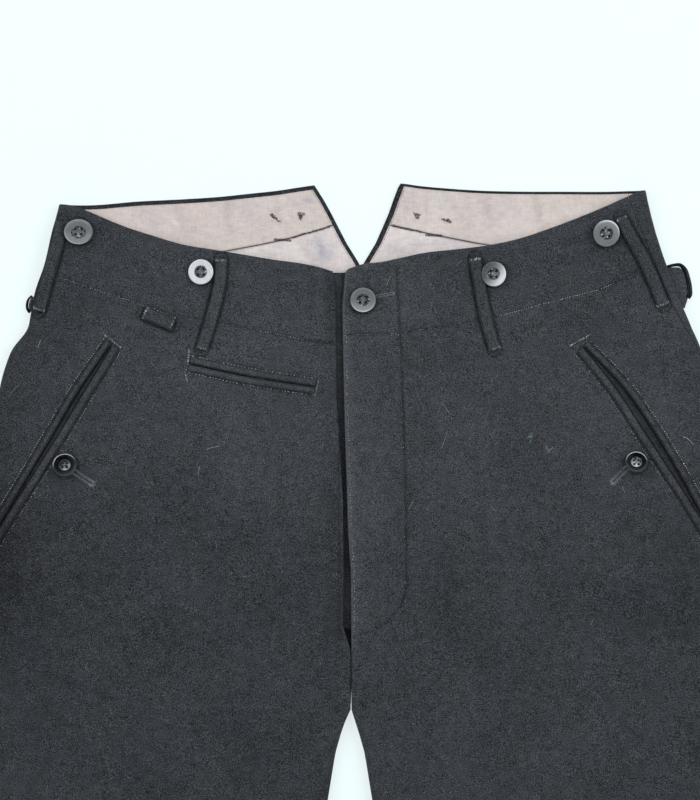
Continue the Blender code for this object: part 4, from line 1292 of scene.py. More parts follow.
def button_place(x, y, lift, lean, towards):
    """Matrix that sits a button on the front's face, leaning a little from square to the cloth."""
    reach = SEAT_REACH
    slope_x = float(face_z(x + reach, y) - face_z(x - reach, y)) / (2 * reach)
    slope_y = float(face_z(x, y + reach) - face_z(x, y - reach)) / (2 * reach)
    up = Vector((-slope_x, -slope_y, 1.0)).normalized()
    turn = Vector((0.0, 0.0, 1.0)).rotation_difference(up).to_matrix().to_4x4()
    foot = Vector((x, y, float(face_z(x, y, lift))))
    half = Matrix.Translation((0, 0, BUTTON_H / 2))
    a = math.radians(towards)
    tip = Matrix.Rotation(math.radians(lean), 4, Vector((-math.sin(a), math.cos(a), 0.0)))
    return np.array(Matrix.Translation(foot) @ turn @ half @ tip @ half.inverted())


def moved(points, place):
    return points @ place[:3, :3].T + place[:3, 3]


def arc(centre, radius, start, end, count=5):
    """(radius, height) pairs round part of a circle, in degrees."""
    turn = np.radians(np.linspace(start, end, count))
    return [(centre[0] + radius * math.cos(a), centre[1] + radius * math.sin(a)) for a in turn]


def horn_profile(radius, shank):
    """Flat broad rim with a softly cut recess for the four holes."""
    recess = HORN_RIM * radius
    return (
        [(SHANK_R, -shank), (SHANK_R, 0.0), (radius - 1.5, 0.0)]
        + arc((radius - 1.1, 1.1), 1.1, -70, 0)
        + arc((radius - 0.8, BUTTON_H - 0.8), 0.8, 0, 90, 9)
        + [(radius - 1.5, BUTTON_H - 0.06), (recess + 1.1, BUTTON_H - 0.16)]
        + arc((recess + 0.5, BUTTON_H - 0.66), 0.5, 90, 170, 7)
        + arc((recess - 0.6, BUTTON_H - 0.5), 0.7, -10, -90, 7)
        + [(0.22 * radius, BUTTON_H - HORN_DEPTH)]
    )


def dished_profile(radius, shank):
    """Round raised rim about a dished centre."""
    tube = 0.25 * radius
    dish = radius - 2 * tube
    return (
        [(SHANK_R, -shank), (SHANK_R, 0.0), (radius - 1.7, 0.0)]
        + arc((radius - 1.2, 1.2), 1.2, -70, 0)
        + arc((radius - tube, BUTTON_H - 0.7 * tube), tube, 0, 150, 14)
        + [(dish - 0.1, BUTTON_H - 0.9), (0.75 * dish, BUTTON_H - 1.3)]
        + [(0.3 * dish, BUTTON_H - DISH_DEPTH)]
    )


def turned(name, profile, rim_r, place, material, wear_and_painted_light):
    """Solid of revolution. "rim" marks what lies outside a radius, "ring" painted shade just inside
    it, and the other two marks the very edge, for a painted highlight arc, and one side, painted
    lighter.
    """
    a = math.tau * np.arange(BUTTON_FACETS) / BUTTON_FACETS
    radii, heights = (np.array(column) for column in zip(*profile))
    ring = stacked(np.cos(a), np.sin(a))
    points = radii[:, None, None] * ring
    points = np.concatenate([points, np.repeat(heights[:, None], len(a), 1)[..., None]], axis=-1)
    index = np.arange(points.shape[0] * len(a)).reshape(-1, len(a))
    ahead = np.roll(index, -1, axis=1)
    walls = stacked(index[:-1], ahead[:-1], ahead[1:], index[1:]).reshape(-1, 4)
    caps = np.stack([index[0, ::-1], index[-1]])
    radii = np.repeat(radii, len(a))
    rim = ease(rim_r - 0.3, rim_r + 0.3, radii)
    towards, strength, bright = wear_and_painted_light
    facing = np.tile(np.cos(a - math.radians(towards)), points.shape[0])
    lit = np.maximum(np.tile(np.cos(a - math.radians(bright)), points.shape[0]), 0)
    painted_edge_light_and_shade = ease(radii.max() - 1.15, radii.max() - 0.7, radii) * (0.05 + 0.95 * lit**1.3)
    painted_side_shading = strength * ((0.5 + 0.5 * facing) ** 2 - 0.15) * radii / radii.max()
    share = radii / rim_r
    ring = ease(0.62, 0.74, share) * (1 - ease(0.94, 1.04, share))
    marks = {"rim": rim, "painted_edge_light_and_shade": painted_edge_light_and_shade, "painted_side_shading": painted_side_shading, "ring": ring}
    points = moved(points.reshape(-1, 3), place)
    return make_mesh(name, points, [walls, caps], material, marks)


def drill(button, place, spread, dark):
    """Cuts the four holes through a button."""
    a = math.tau * np.arange(HOLE_FACETS) / HOLE_FACETS
    ring = stacked(np.cos(a), np.sin(a), 0 * a) * HOLE_R
    points, walls, caps = [], [], []
    for sx in (-1, 1):
        for sy in (-1, 1):
            first = len(points) * HOLE_FACETS
            centre = np.array([sx * spread, sy * spread, 0.0])
            for z in (0.2, BUTTON_H + 1.0):
                points.append(ring + centre + (0, 0, z))
            index = first + np.arange(2 * HOLE_FACETS).reshape(2, -1)
            ahead = np.roll(index, -1, axis=1)
            walls.append(stacked(index[0], ahead[0], ahead[1], index[1]))
            caps += [index[0, ::-1], index[1]]
    points = moved(np.concatenate(points), place)
    # the cutter's near black finish, painted shade, goes onto the walls of the holes
    cutter = make_mesh("cutter", points, [np.concatenate(walls), np.stack(caps)], dark)
    cut = button.modifiers.new("holes", "BOOLEAN")
    cut.operation, cut.object = "DIFFERENCE", cutter
    cut.solver, cut.material_mode = "EXACT", "TRANSFER"
    graph = bpy.context.evaluated_depsgraph_get()
    mesh = bpy.data.meshes.new_from_object(button.evaluated_get(graph))
    button.modifiers.clear()
    button.data = mesh
    bpy.data.objects.remove(cutter)
    mesh.set_sharp_from_angle(angle=math.radians(50))


def button_threads(place, spread, top):
    """Routes of the threads that cross between a button's holes."""
    routes = []
    for sign in (-1, 1):
        for shift in (-0.2, 0.2):
            t = np.linspace(-1, 1, 11)
            along_it, aside = 0.8 * spread * t, shift * (1 - 0.35 * t * t)
            x = along_it - sign * aside * 0.7
            y = sign * along_it + aside * 0.7
            z = top + 0.08 + (0.34 + 0.14 * sign) * (1 - t**4) - 0.9 * t**6
            routes.append(stacked(x, y, z))
    return [moved(route, place) for route in routes]


def add_buttons(horn, bright, glossy, dark, thread):
    """Every button in place of its node, and the threads that hold them as one piece."""
    routes, knees = [], []
    y = (LEG_END_Y + HEM_Y) / 2
    for side in (RIGHT, LEFT):
        out = float(side_edge(side, y)) - FOLD_R - (BAND_OVER_END - BAND_BUTTON_IN - QUARTER)
        name = "knee_button_" + SIDE_NAME[side]
        knees.append((name, SIGN[side] * out, y, KNEE_BUTTON_R, 0.9))
    for name, x, y, radius, stand in (*BRACE_BUTTONS, *POCKET_BUTTONS, *knees):
        cloth = BAND_LIFT + SEAM_GAP + BAND_WALL if name.startswith("knee") else 0.0
        lean, towards, *wear_and_painted_light = BUTTON_LOOKS.get(name, (0.0, 0.0, -90.0, 0.2, -120.0))
        stand += button_lift(radius, stand, lean)
        place = button_place(x, y, cloth + stand, lean, towards)
        dished = name.startswith("pocket")
        shape = dished_profile if dished else horn_profile
        # the inner right brace button takes the lit copy of the horn, a painted reflection
        material = glossy if dished else bright if name == "brace_button_inner_right" else horn
        rim_r = (DISH_RIM if dished else HORN_RIM) * radius
        shank = max(0.1, stand - SEAM_GAP - SHANK_R * math.sin(math.radians(lean)))
        made = turned(name + "_turned", shape(radius, shank), rim_r, place, material, wear_and_painted_light)
        spread = (DISH_HOLES if dished else HORN_HOLES) * radius
        drill(made, place, spread, dark)
        dress(made, "black_button" if dished else "grey_button", name)
        top = BUTTON_H - (DISH_DEPTH if dished else HORN_DEPTH)
        routes += button_threads(place, spread, top)
    tones = np.random.default_rng(5).normal(0, 0.4, len(routes))
    add_sewing("button_threads", np.array(routes), THREAD_R, 6, thread, tones)


# ---------------------------------------------------------------- stitching

STITCH_BOW = 0.16  # how far the middle of a stitch stands off the cloth
STITCH_SINK = 0.12  # how far its ends are drawn in
THREAD_SIDES = 5
BACK_STITCH_INSET = 0.9


def stitch_ends(line, pitch, length, seed, wander=0.12, hidden=0.0):
    """Both ends of each stitch along a line, a little uneven, less a share sunk in the nap."""
    line = np.array(line, float)
    reach = reached(line)
    random = np.random.default_rng(seed)
    count = max(1, int(reach[-1] / pitch))
    middle = (np.arange(count) + 0.5) * reach[-1] / count + random.normal(0, 0.08 * pitch, count)
    size = length * random.uniform(0.75, 1.15, count)
    at = np.stack([middle - size / 2, middle + size / 2], axis=1)
    ends = np.stack([np.interp(at, reach, line[:, k]) for k in (0, 1)], axis=-1)
    ends = ends + random.normal(0, wander, (count, 1, 2))
    drift = np.sin(middle / 9.0 + seed) + np.sin(middle / 23.0 + 2.0 * seed)
    return ends[random.uniform(0, 1, count) + 0.18 * drift >= hidden]


def thread_routes(ends, height, bow=STITCH_BOW):
    """Threads between pairs of places, over the face that height(x, y) gives."""
    t = np.array([0.0, 0.18, 0.5, 0.82, 1.0])
    plan = ends[:, None, 0] + (ends[:, 1] - ends[:, 0])[:, None] * t[:, None]
    hump = np.sin(math.pi * t)
    z = height(plan[..., 0], plan[..., 1]) + bow * hump - STITCH_SINK * (1 - hump)
    return np.concatenate([plan, z[..., None]], axis=-1)


def add_threads(name, routes, radius, material, seed, spread, tone=0.0):
    random = np.random.default_rng(seed)
    taper = np.array([0.5, 0.9, 1.0, 0.9, 0.5])
    radii = radius * taper * random.uniform(0.85, 1.15, (len(routes), 1))
    tones = tone + random.normal(0, spread, len(routes))
    add_sewing(name, routes, radii, THREAD_SIDES, material, tones)


def bearings(start, end):
    """Both places as arrays, and the directions ahead and to the left."""
    start, end = np.array(start, float), np.array(end, float)
    ahead = (end - start) / np.hypot(*(end - start))
    return start, end, ahead, np.array([-ahead[1], ahead[0]])


def satin(start, end, width, pitch, seed, loose=0.07):
    """Close stitches across a bar that runs from one place to another."""
    start, end, _, left = bearings(start, end)
    count = max(2, int(np.hypot(*(end - start)) / pitch))
    random = np.random.default_rng(seed)
    middle = start + np.linspace(0, 1, count)[:, None] * (end - start)
    half = width / 2 * random.uniform(0.8, 1.15, (count, 2, 1)) * np.array([[-1.0], [1.0]])
    return middle[:, None] + half * left + random.normal(0, loose, (count, 2, 2))


def buttonhole(start, end, width, seed):
    """Purl stitches down both sides of a slit and round its eyelet end."""
    start, end, ahead, left = bearings(start, end)
    gap, pitch = 0.22, 0.55
    sides = []
    for sign in (-1, 1):
        middle = left * sign * (gap + width / 4)
        sides.append(satin(start + middle, end + middle, width / 2 - gap, pitch, seed + sign))
    turn = np.linspace(-0.62 * math.pi, 0.62 * math.pi, 11)
    spokes = np.cos(turn)[:, None] * ahead + np.sin(turn)[:, None] * left
    eye = end + ahead * 0.5
    sides.append(np.stack([eye + spokes * 0.45, eye + spokes * width * 0.62], axis=1))
    return np.concatenate(sides)


PITCH = 1.65  # from stitch to stitch of the machine sewing
# Parts of the waist seam whose stitches stand out of the nap: side, from x, to x, tone
SHOWN_SEAM = (
    (RIGHT, -191.0, -128.0, -0.2),
    (RIGHT, -60.0, -30.0, -0.2),
    (LEFT, 98.0, 176.0, -0.2),
    (LEFT, 4.0, 56.0, -0.62),
)


def add_top_stitching(pale):
    """Machine stitches that show as a broken line of pale dots on the wool."""
    rows = []
    for k, (side, low, high, tone) in enumerate(SHOWN_SEAM):
        points = WAIST_SEAM[side]
        at = np.interp((low, high), *zip(*[(x, n) for n, (x, _) in enumerate(points)]))
        shown = np.linspace(*at, 60)
        line = stacked(*(np.interp(shown, range(len(points)), column) for column in zip(*points)))
        rows.append((stitch_ends(line, PITCH, 0.8, 11 + k, 0.08, 0.08), tone))
    rows.append((stitch_ends(offset_line(FLY_SEAM, -0.9), 2.0, 0.6, 21, hidden=0.86), -0.55))
    y = np.linspace(-40.0, FLY_END_Y - 6.0, 60)
    edge = stacked(straight(FRONT_INNER, LEFT, y) + 2.3, y)
    rows.append((stitch_ends(edge, PITCH, 0.5, 27, 0.2, 0.25), -0.15))
    top = offset_line(FOB_LOOP, FOB_LOOP_WIDTH / 2 + 0.7)
    rows.append((stitch_ends(top, PITCH, 0.9, 25, 0.08, 0.2), -0.2))
    for k, offset in enumerate((SLIT / 2 + FOB_WELT + 0.8, -SLIT / 2 - FOB_WELT - 0.8)):
        line = offset_line(FOB_POCKET, offset, -0.5, -0.5)
        rows.append((stitch_ends(line, 2.3, 1.0, 31 + k, 0.08, 0.04), 0.1 + 0.4 * k))
    rows.append((stitch_ends(FOB_TACK, 1.6, 0.9, 35, 0.2), 0.3))
    for side, points in SIDE_POCKETS.items():
        line = offset_line(points, SIGN[side] * (SLIT / 2 + SIDE_WELT + 1.9), -1.0)
        rows.append((stitch_ends(line, PITCH, 0.6, 41 + side, 0.08, 0.08), 0.15))
        line = offset_line(points, front_welt_edge(side, 2.1), -1.0)
        rows.append((stitch_ends(line, PITCH, 0.6, 51 + side, 0.1, 0.3), -0.2))
    ends = np.concatenate([row for row, _ in rows])
    tone = np.concatenate([np.full(len(row), tone) for row, tone in rows])
    add_threads("top_stitching", thread_routes(ends, cloth_z, 0.2), 0.24, pale, 61, 0.35, tone=tone)


def cross_bar(points, at, low, high, width, lift, seed, crown=0.0):
    """Threads of a bar across a route, `at` along it, from low to high to its left."""
    line = route_at(points, np.array([at, at + 0.3]))
    left = sideways(line)[0]
    ends = satin(line[0] + left * low, line[0] + left * high, width, 0.75, seed, 0.3)

    def height(x, y):
        share = ((x - line[0, 0]) * left[0] + (y - line[0, 1]) * left[1]) / (high + 0.6)
        return cloth_z(x, y, lift + crown * np.cos(np.clip(share, -1, 1) * math.pi / 2))

    return thread_routes(ends, height, 0.12)


# Bars across the ends of the pocket mouths, and the fob pocket's second tack
POCKET_BARS = (((-161.8, -44.4), (-151.0, -52.8)), ((144.8, -51.6), (158.6, -43.9)))
FOB_BARS = (((-106.3, -53.4), (-106.9, -63.8)), ((-20.7, -73.2), (-23.5, -84.7)))
FOB_TACK = ((-108.2, -66.4), (-108.5, -70.0), (-107.6, -75.0))


def add_bars(pale):
    """Bars that fasten the ends of loops and pocket mouths."""
    routes = []
    loops = [(points, LOOP_WIDTH, 0.75) for _, points in BELT_LOOPS]
    loops.append((FOB_LOOP, FOB_LOOP_WIDTH, 1.1))
    for k, (points, wide, crown) in enumerate(loops):
        half = wide / 2 - 0.3
        for n, at in enumerate((1.1, route_length(points) - 1.3)):
            if k + n == 0:
                continue  # the button lies over this end
            lift = SEAM_GAP + LOOP_WALL - 0.3
            routes.append(cross_bar(points, at, -half, half, 1.9, lift, 70 + 2 * k + n, crown))
    for k, (start, end) in enumerate(POCKET_BARS + FOB_BARS):
        ends = satin(start, end, 1.1, 0.45, 84 + k, 0.12)
        routes.append(thread_routes(ends, lambda x, y: cloth_z(x, y, 0.4), 0.3))
    add_threads("bars", np.concatenate(routes), 0.2, pale, 90, 0.6, tone=-0.45)


# Buttonholes: both ends of the slit, then how wide the stitches reach
BUTTONHOLES = (
    ((14.6, -19.2), (27.8, -16.9), 1.9),
    ((-184.0, -133.2), (-170.8, -142.1), 4.2),
    ((183.8, -131.0), (174.0, -140.8), 4.0),
)


def add_buttonholes(thread):
    ends = [buttonhole(*hole, 100 + 3 * k) for k, hole in enumerate(BUTTONHOLES)]
    routes = thread_routes(np.concatenate(ends), cloth_z, 0.3)
    add_threads("buttonholes", routes, 0.26, thread, 110, 0.2)


def cotton_sewing():
    """Felling down the notch, and the slanting seams, which are roped towards the middle."""
    routes = []
    for side in (RIGHT, LEFT):
        y = np.linspace(6.0, 51.5, 46)
        x = SIGN[side] * (straight(BACK_INNER, side, y) + NOTCH_INSET[side] + BACK_STITCH_INSET)
        line = stacked(x, y)
        routes.append(thread_routes(stitch_ends(line, 1.6, 1.5, 120 + side, 0.05), cotton_z, 0.05))
        out = np.linspace(straight(BACK_INNER, side, 30.0) + NOTCH_INSET[side] + 1, 88.0, 60)
        line = stacked(SIGN[side] * out, along(SLANT_SEAM, side, out) + 0.15)
        routes.append(thread_routes(stitch_ends(line, 1.3, 1.35, 124 + side, 0.05), cotton_z, 0.02))
        near = line[: int(0.36 * len(line))]
        for k in range(3):
            rope = stitch_ends(near + (0.0, 0.35 * (k - 1)), 1.1, 1.7, 126 + 10 * side + k, 0.28)
            routes.append(thread_routes(rope, cotton_z, 0.12))
    return routes


# Ends of the tangles of thread where the back buttons hung, and the bars of the cotton
KNOTS = (
    ((-52.4, 36.0), (-49.6, 33.4)), ((-50.6, 34.0), (-46.4, 31.2)), ((-34.4, 36.0), (-30.6, 35.4)),
    ((-32.8, 35.0), (-32.2, 32.6)), ((42.0, 36.4), (46.6, 34.9)), ((44.0, 35.4), (44.6, 33.0)),
    ((61.0, 32.6), (64.6, 31.2)), ((64.2, 32.2), (66.6, 30.2)),
)  # fmt: skip
COTTON_BARS = (((-50.2, 19.0), (-39.0, 18.3)), ((50.0, 22.0), (60.6, 21.4)))


def tangle(start, end, seed):
    """A few loops of thread wound about a line."""
    random = np.random.default_rng(seed)
    t = np.linspace(0, 1, 40)
    routes = []
    for _ in range(2):
        turns, phase = random.uniform(1.2, 2.6), random.uniform(0, 6.0)
        wide = random.uniform(0.4, 1.1)
        x = start[0] + (end[0] - start[0]) * t + wide * np.cos(math.tau * turns * t + phase)
        y = start[1] + (end[1] - start[1]) * t + wide * np.sin(math.tau * turns * t + phase)
        z = cotton_z(x, y) + 0.35 + 0.3 * np.sin(math.tau * turns * t * 0.5 + phase)
        routes.append(stacked(x, y, z))
    return routes


def add_cotton_threads(dark):
    routes = cotton_sewing()
    for k, (start, end) in enumerate(COTTON_BARS):
        ends = satin(start, end, 2.1, 0.45, 130 + k)
        routes.append(thread_routes(ends, cotton_z, 0.25))
    add_threads("cotton_sewing", np.concatenate(routes), 0.15, dark, 134, 0.2)
    loops = [route for k, ends in enumerate(KNOTS) for route in tangle(*ends, 140 + k)]
    add_sewing("thread_ends", np.array(loops), 0.15, 6, dark, np.zeros(len(loops)))


def add_band_stitching(pale):
    """Two rows of stitches round the top face of each knee band."""
    ends = []
    for side in (RIGHT, LEFT):
        for k, y in enumerate((LEG_END_Y - SEAM_GAP - BAND_STITCH_IN, HEM_Y + BAND_STITCH_IN)):
            low = float(straight(BACK_INNER, side, y)) + FOLD_R + 1.0
            high = float(side_edge(side, y)) - FOLD_R - (BAND_OVER_END - QUARTER) - 2.5
            line = [(SIGN[side] * low, y), (SIGN[side] * high, y)]
            ends.append(stitch_ends(line, 2.6, 1.6, 150 + 4 * side + k))
    lift = BAND_LIFT - STITCH_HOLLOW
    routes = thread_routes(np.concatenate(ends), lambda x, y: face_z(x, y, lift))
    add_threads("band_stitching", routes, 0.21, pale, 160, 0.3)


# ---------------------------------------------------------------- lint

# Hairs and lint that lie in plain sight: x, y, direction in degrees, length, thickness
LINT = (
    (-226.0, -86.0, 38.0, 11.0, 0.10),
    (-206.0, -53.5, 70.0, 6.0, 0.10),
    (218.8, -111.0, -28.0, 9.0, 0.16),
    (24.0, -12.0, 55.0, 6.5, 0.08),
    (17.8, -25.7, 27.0, 3.2, 0.10),
    (-96.0, -120.0, 20.0, 9.0, 0.08),
    (60.0, -120.0, 72.0, 12.0, 0.07),
    (66.0, -96.0, 130.0, 8.0, 0.07),
)
LOOSE_HAIRS = 64
HAIR_SIDES, HAIR_POINTS = 4, 12
GREEN_LINT = ((120.0, -112.0), (131.0, -119.0))


def hair_route(x, y, turn, length, curl, random):
    t = np.linspace(0, 1, HAIR_POINTS)
    bend = np.cumsum(random.normal(0, curl, len(t))) * 0.35 + random.normal(0, curl) * 3 * (t - 0.5)
    angle = math.radians(turn) + bend
    step = length / (len(t) - 1)
    px, py = x + np.cumsum(np.cos(angle)) * step, y + np.cumsum(np.sin(angle)) * step
    z = cloth_z(px, py) + 0.12 + 0.18 * np.abs(np.sin(math.pi * t * 2 + turn))
    return stacked(px, py, z)


def add_lint(white, green):
    random = np.random.default_rng(170)
    routes, radii = [], []
    for x, y, turn, length, thick in LINT:
        routes.append(hair_route(x, y, turn, length, 0.12, random))
        radii.append(thick)
    while len(routes) < LOOSE_HAIRS:
        x, y = random.uniform(-215, 215), random.uniform(-560, 20)
        edge = min(float(side_edge(RIGHT, y)), float(side_edge(LEFT, y))) - 12
        if abs(x) > edge or (y < FORK_Y + 20 and abs(x) < 60):
            continue
        length = float(random.lognormal(1.2, 0.45))
        routes.append(hair_route(x, y, random.uniform(0, 360), length, 0.25, random))
        radii.append(random.uniform(0.032, 0.06))
    radii = np.array(radii)[:, None] * np.ones(HAIR_POINTS)
    tones = random.normal(-0.1, 0.3, len(routes))
    add_sewing("hairs", np.array(routes), radii, HAIR_SIDES, white, tones)
    loops = []
    for x, y in GREEN_LINT:
        for _ in range(5):
            turn = random.uniform(0, 360)
            at = (x + random.normal(0, 0.9), y + random.normal(0, 0.8))
            loops.append(hair_route(*at, turn, 3.0, 0.7, random))
    add_sewing("green_lint", np.array(loops), 0.075, HAIR_SIDES, green, np.zeros(len(loops)))


# ---------------------------------------------------------------- finishes


class Finish:
    """A material's nodes, in the part's own millimetres."""

    def __init__(self, name, **sockets):
        self.material = bpy.data.materials.new(name)
        self.material.use_nodes = True
        self.tree = self.material.node_tree
        self.shader = self.tree.nodes["Principled BSDF"]
        for socket, value in sockets.items():
            self.shader.inputs[socket.replace("_", " ")].default_value = value
        self.place = self.add("TexCoord").outputs["Object"]

    def add(self, kind, **settings):
        node = self.tree.nodes.new("ShaderNode" + kind)
        for setting, value in settings.items():
            setattr(node, setting, value)
        return node

    def feed(self, socket, value):
        if isinstance(value, bpy.types.NodeSocket):
            self.tree.links.new(value, socket)
        else:
            socket.default_value = value

    def maths(self, operation, *values):
        node = self.add("Math", operation=operation)
        for socket, value in zip(node.inputs, values):
            self.feed(socket, value)
        return node.outputs[0]

    def noise(self, size, detail=2.0, rough=0.5, stretch=(1.0, 1.0, 1.0), turn=0.0):
        """Noise about nought whose grains are `size` millimetres across."""
        mapping = self.add("Mapping")
        self.feed(mapping.inputs["Vector"], self.place)
        mapping.inputs["Rotation"].default_value = (0.0, 0.0, math.radians(turn))
        mapping.inputs["Scale"].default_value = [1000.0 / size * s for s in stretch]
        node = self.add("TexNoise")
        self.feed(node.inputs["Vector"], mapping.outputs[0])
        node.inputs["Scale"].default_value = 1.0
        node.inputs["Detail"].default_value = detail
        node.inputs["Roughness"].default_value = rough
        return self.maths("SUBTRACT", node.outputs["Fac"], 0.5)

    def mark(self, name):
        return self.add("Attribute", attribute_name=name).outputs["Fac"]

    def weigh(self, *pairs, base=1.0):
        """base plus each value times its weight."""
        total = base
        for value, weight in pairs:
            total = self.maths("MULTIPLY_ADD", value, weight, total)
        return total

    def step(self, value, low, high):
        node = self.add("MapRange", interpolation_type="SMOOTHSTEP")
        for socket, given in zip(node.inputs, (value, low, high, 0.0, 1.0)):
            self.feed(socket, given)
        return node.outputs[0]

    def tint(self, colour, by):
        node = self.add("VectorMath", operation="SCALE")
        self.feed(node.inputs[0], colour)
        self.feed(node.inputs["Scale"], by)
        return node.outputs[0]

    def mix(self, share, first, second):
        node = self.add("Mix", data_type="RGBA")
        self.feed(node.inputs[0], share)
        self.feed(node.inputs[6], first if not isinstance(first, tuple) else (*first, 1.0))
        self.feed(node.inputs[7], second if not isinstance(second, tuple) else (*second, 1.0))
        return node.outputs[2]

    def raise_by(self, height, depth, strength=1.0):
        """Bump of this many millimetres."""
        node = self.add("Bump")
        self.feed(node.inputs["Height"], height)
        node.inputs["Distance"].default_value = depth * MM
        node.inputs["Strength"].default_value = strength
        self.feed(self.shader.inputs["Normal"], node.outputs[0])

    def colour(self, value):
        self.feed(self.shader.inputs["Base Color"], value)

    def rough(self, value):
        self.feed(self.shader.inputs["Roughness"], value)


def wool_finish(name, colour, nap_gain=1.0):
    """Fulled wool: a short nap with paler fibres in it, over a weave that hardly shows."""
    made = Finish(
        name,
        Specular_IOR_Level=0.08,
        Sheen_Weight=0.08,
        Sheen_Roughness=0.5,
        Sheen_Tint=(0.75, 0.82, 0.95, 1.0),
    )
    nap = made.noise(0.56, 1.0, 0.5)
    fine = made.noise(0.36, 1.0, 0.5)
    weave = made.noise(1.0, 1.0, 0.4, (0.22, 1.0, 1.0), 38.0)
    weft = made.noise(1.0, 1.0, 0.4, (0.22, 1.0, 1.0), -52.0)
    mottle = made.noise(7.0, 3.0, 0.6)
    cloud = made.noise(48.0, 3.0, 0.55)
    fibre = made.step(made.noise(0.8, 1.0, 0.5, (0.35, 1.0, 0.35), 17.0), 0.15, 0.25)
    tuft = made.step(made.noise(0.95, 1.0, 0.5), 0.18, 0.3)
    # the tone mark brings in each piece's lighter and darker places, most of them painted light and
    # shade
    tone = made.weigh(
        (nap, 4.9 * nap_gain), (fine, 6.0 * nap_gain), (weave, 0.4), (weft, 0.3),
        (mottle, 1.1), (cloud, 0.8), (fibre, 0.7), (tuft, 1.1), (made.mark("tone"), 1.0),
    )  # fmt: skip
    tone = made.maths("MAXIMUM", tone, 0.16)
    cool = made.step(made.noise(30.0, 2.0, 0.5), -0.12, 0.16)
    warm = tuple(c * t for c, t in zip(colour, (1.005, 1.0, 0.995)))
    blue = tuple(c * t for c, t in zip(colour, (0.99, 0.995, 1.015)))
    made.colour(made.tint(made.mix(cool, warm, blue), tone))
    made.rough(made.weigh((fine, 0.12), base=0.9))
    height = ((nap, 0.5), (fine, 0.4), (weave, 0.3), (weft, 0.3), (mottle, 0.5))
    made.raise_by(made.weigh(*height, base=0.0), 0.7, 0.85)
    return made.material


def cotton_finish(name, first, second):
    """Worn cotton twill, washed pale, with a few old stains."""
    made = Finish(name, Specular_IOR_Level=0.25, Sheen_Weight=0.08, Sheen_Roughness=0.5)
    warp = made.noise(0.75, 1.0, 0.4, (1.0, 0.16, 1.0), 12.0)
    weft = made.noise(0.75, 1.0, 0.4, (0.16, 1.0, 1.0), 12.0)
    mottle = made.noise(5.0, 3.0, 0.6)
    cloud = made.noise(22.0, 3.0, 0.6)
    patch = made.step(made.noise(15.0, 2.0, 0.55), -0.05, 0.2)
    base = made.mix(patch, first, second)
    blot = made.noise(3.4, 3.0, 0.6)
    stain = made.maths("MULTIPLY", made.mark("stain"), made.weigh((blot, 1.8), (cloud, 1.4)))
    base = made.mix(stain, base, (0.300, 0.290, 0.350))
    slub = made.noise(2.2, 3.0, 0.65, (0.5, 1.0, 1.0), 12.0)
    # the tone takes off the painted shade of the seam, the edges and the creases
    tone = made.weigh(
        (warp, 0.2), (weft, 0.18), (slub, 0.3), (mottle, 0.24), (cloud, 0.3),
        (made.mark("painted_cotton_shade"), -1.0),
    )  # fmt: skip
    made.colour(made.tint(base, tone))
    made.rough(0.88)
    height = ((warp, 0.4), (weft, 0.4), (slub, 0.8), (mottle, 1.6))
    made.raise_by(made.weigh(*height, base=0.0), 0.3, 0.7)
    return made.material


def thread_finish(name, colour):
    made = Finish(name, Roughness=0.7, Specular_IOR_Level=0.35, Sheen_Weight=0.1)
    strand = made.noise(0.35, 1.0, 0.5)
    wear = made.noise(9.0, 2.0, 0.6)
    tone = made.weigh((made.mark("tone"), 1.0), (strand, 0.5), (wear, 0.9))
    made.colour(made.tint(colour, made.maths("MAXIMUM", tone, 0.2)))
    made.raise_by(strand, 0.1, 0.5)
    return made.material


def horn_finish(name, colour, centre, gloss, wear_and_painted_light=0.0, shine=0.4):
    """Dark pressed buttons whose rims catch the light, with light painted on besides: one side
    lighter, painted shade just inside the rim, a painted highlight arc along the edge and painted
    glints in the recess.
    """
    made = Finish(name, Specular_IOR_Level=shine, Coat_Weight=gloss, Coat_Roughness=0.08)
    streak = made.noise(2.2, 3.0, 0.6, (1.0, 0.35, 1.0), 30.0)
    speck = made.noise(0.5, 2.0, 0.6)
    scratch = made.step(made.noise(0.7, 1.0, 0.5, (0.12, 1.0, 1.0), 64.0), 0.16, 0.26)
    # painted side shading, and painted shade just inside the rim
    tone = made.weigh(
        (streak, 0.35), (speck, 0.5), (scratch, 0.3), (made.mark("painted_side_shading"), 1.0),
        (made.mark("ring"), -0.9),
    )  # fmt: skip
    tone = made.maths("MAXIMUM", tone, 0.05)
    plain = made.tint(made.mix(made.mark("rim"), centre, colour), tone)
    # painted glints in the recess and a painted highlight arc along the rim's edge, both mixed
    # towards pale grey
    glint = made.step(made.noise(1.5, 1.0, 0.5), 0.06, 0.2)
    inside = made.maths("SUBTRACT", 1.0, made.mark("rim"))
    glint = made.maths("MULTIPLY", made.maths("MULTIPLY", glint, inside), 0.7)
    share = made.maths("MULTIPLY_ADD", made.mark("painted_edge_light_and_shade"), wear_and_painted_light, glint)
    made.colour(made.mix(share, plain, (0.50, 0.53, 0.56)))
    made.rough(made.weigh((speck, 0.25), (scratch, 0.15), base=0.3))
    made.raise_by(made.weigh((speck, 0.6), (streak, 0.8), base=0.0), 0.09, 0.7)
    return made.material


def wire_finish():
    made = Finish("japanned_wire", Specular_IOR_Level=0.1, Coat_Weight=0.05, Coat_Roughness=0.12)
    chip = made.step(made.noise(2.2, 3.0, 0.65), 0.24, 0.3)
    made.colour(made.mix(chip, (0.003, 0.004, 0.005), (0.012, 0.015, 0.018)))
    made.rough(made.weigh((chip, 0.3), base=0.22))
    made.raise_by(made.noise(1.6, 2.0, 0.5), 0.08, 0.4)
    return made.material


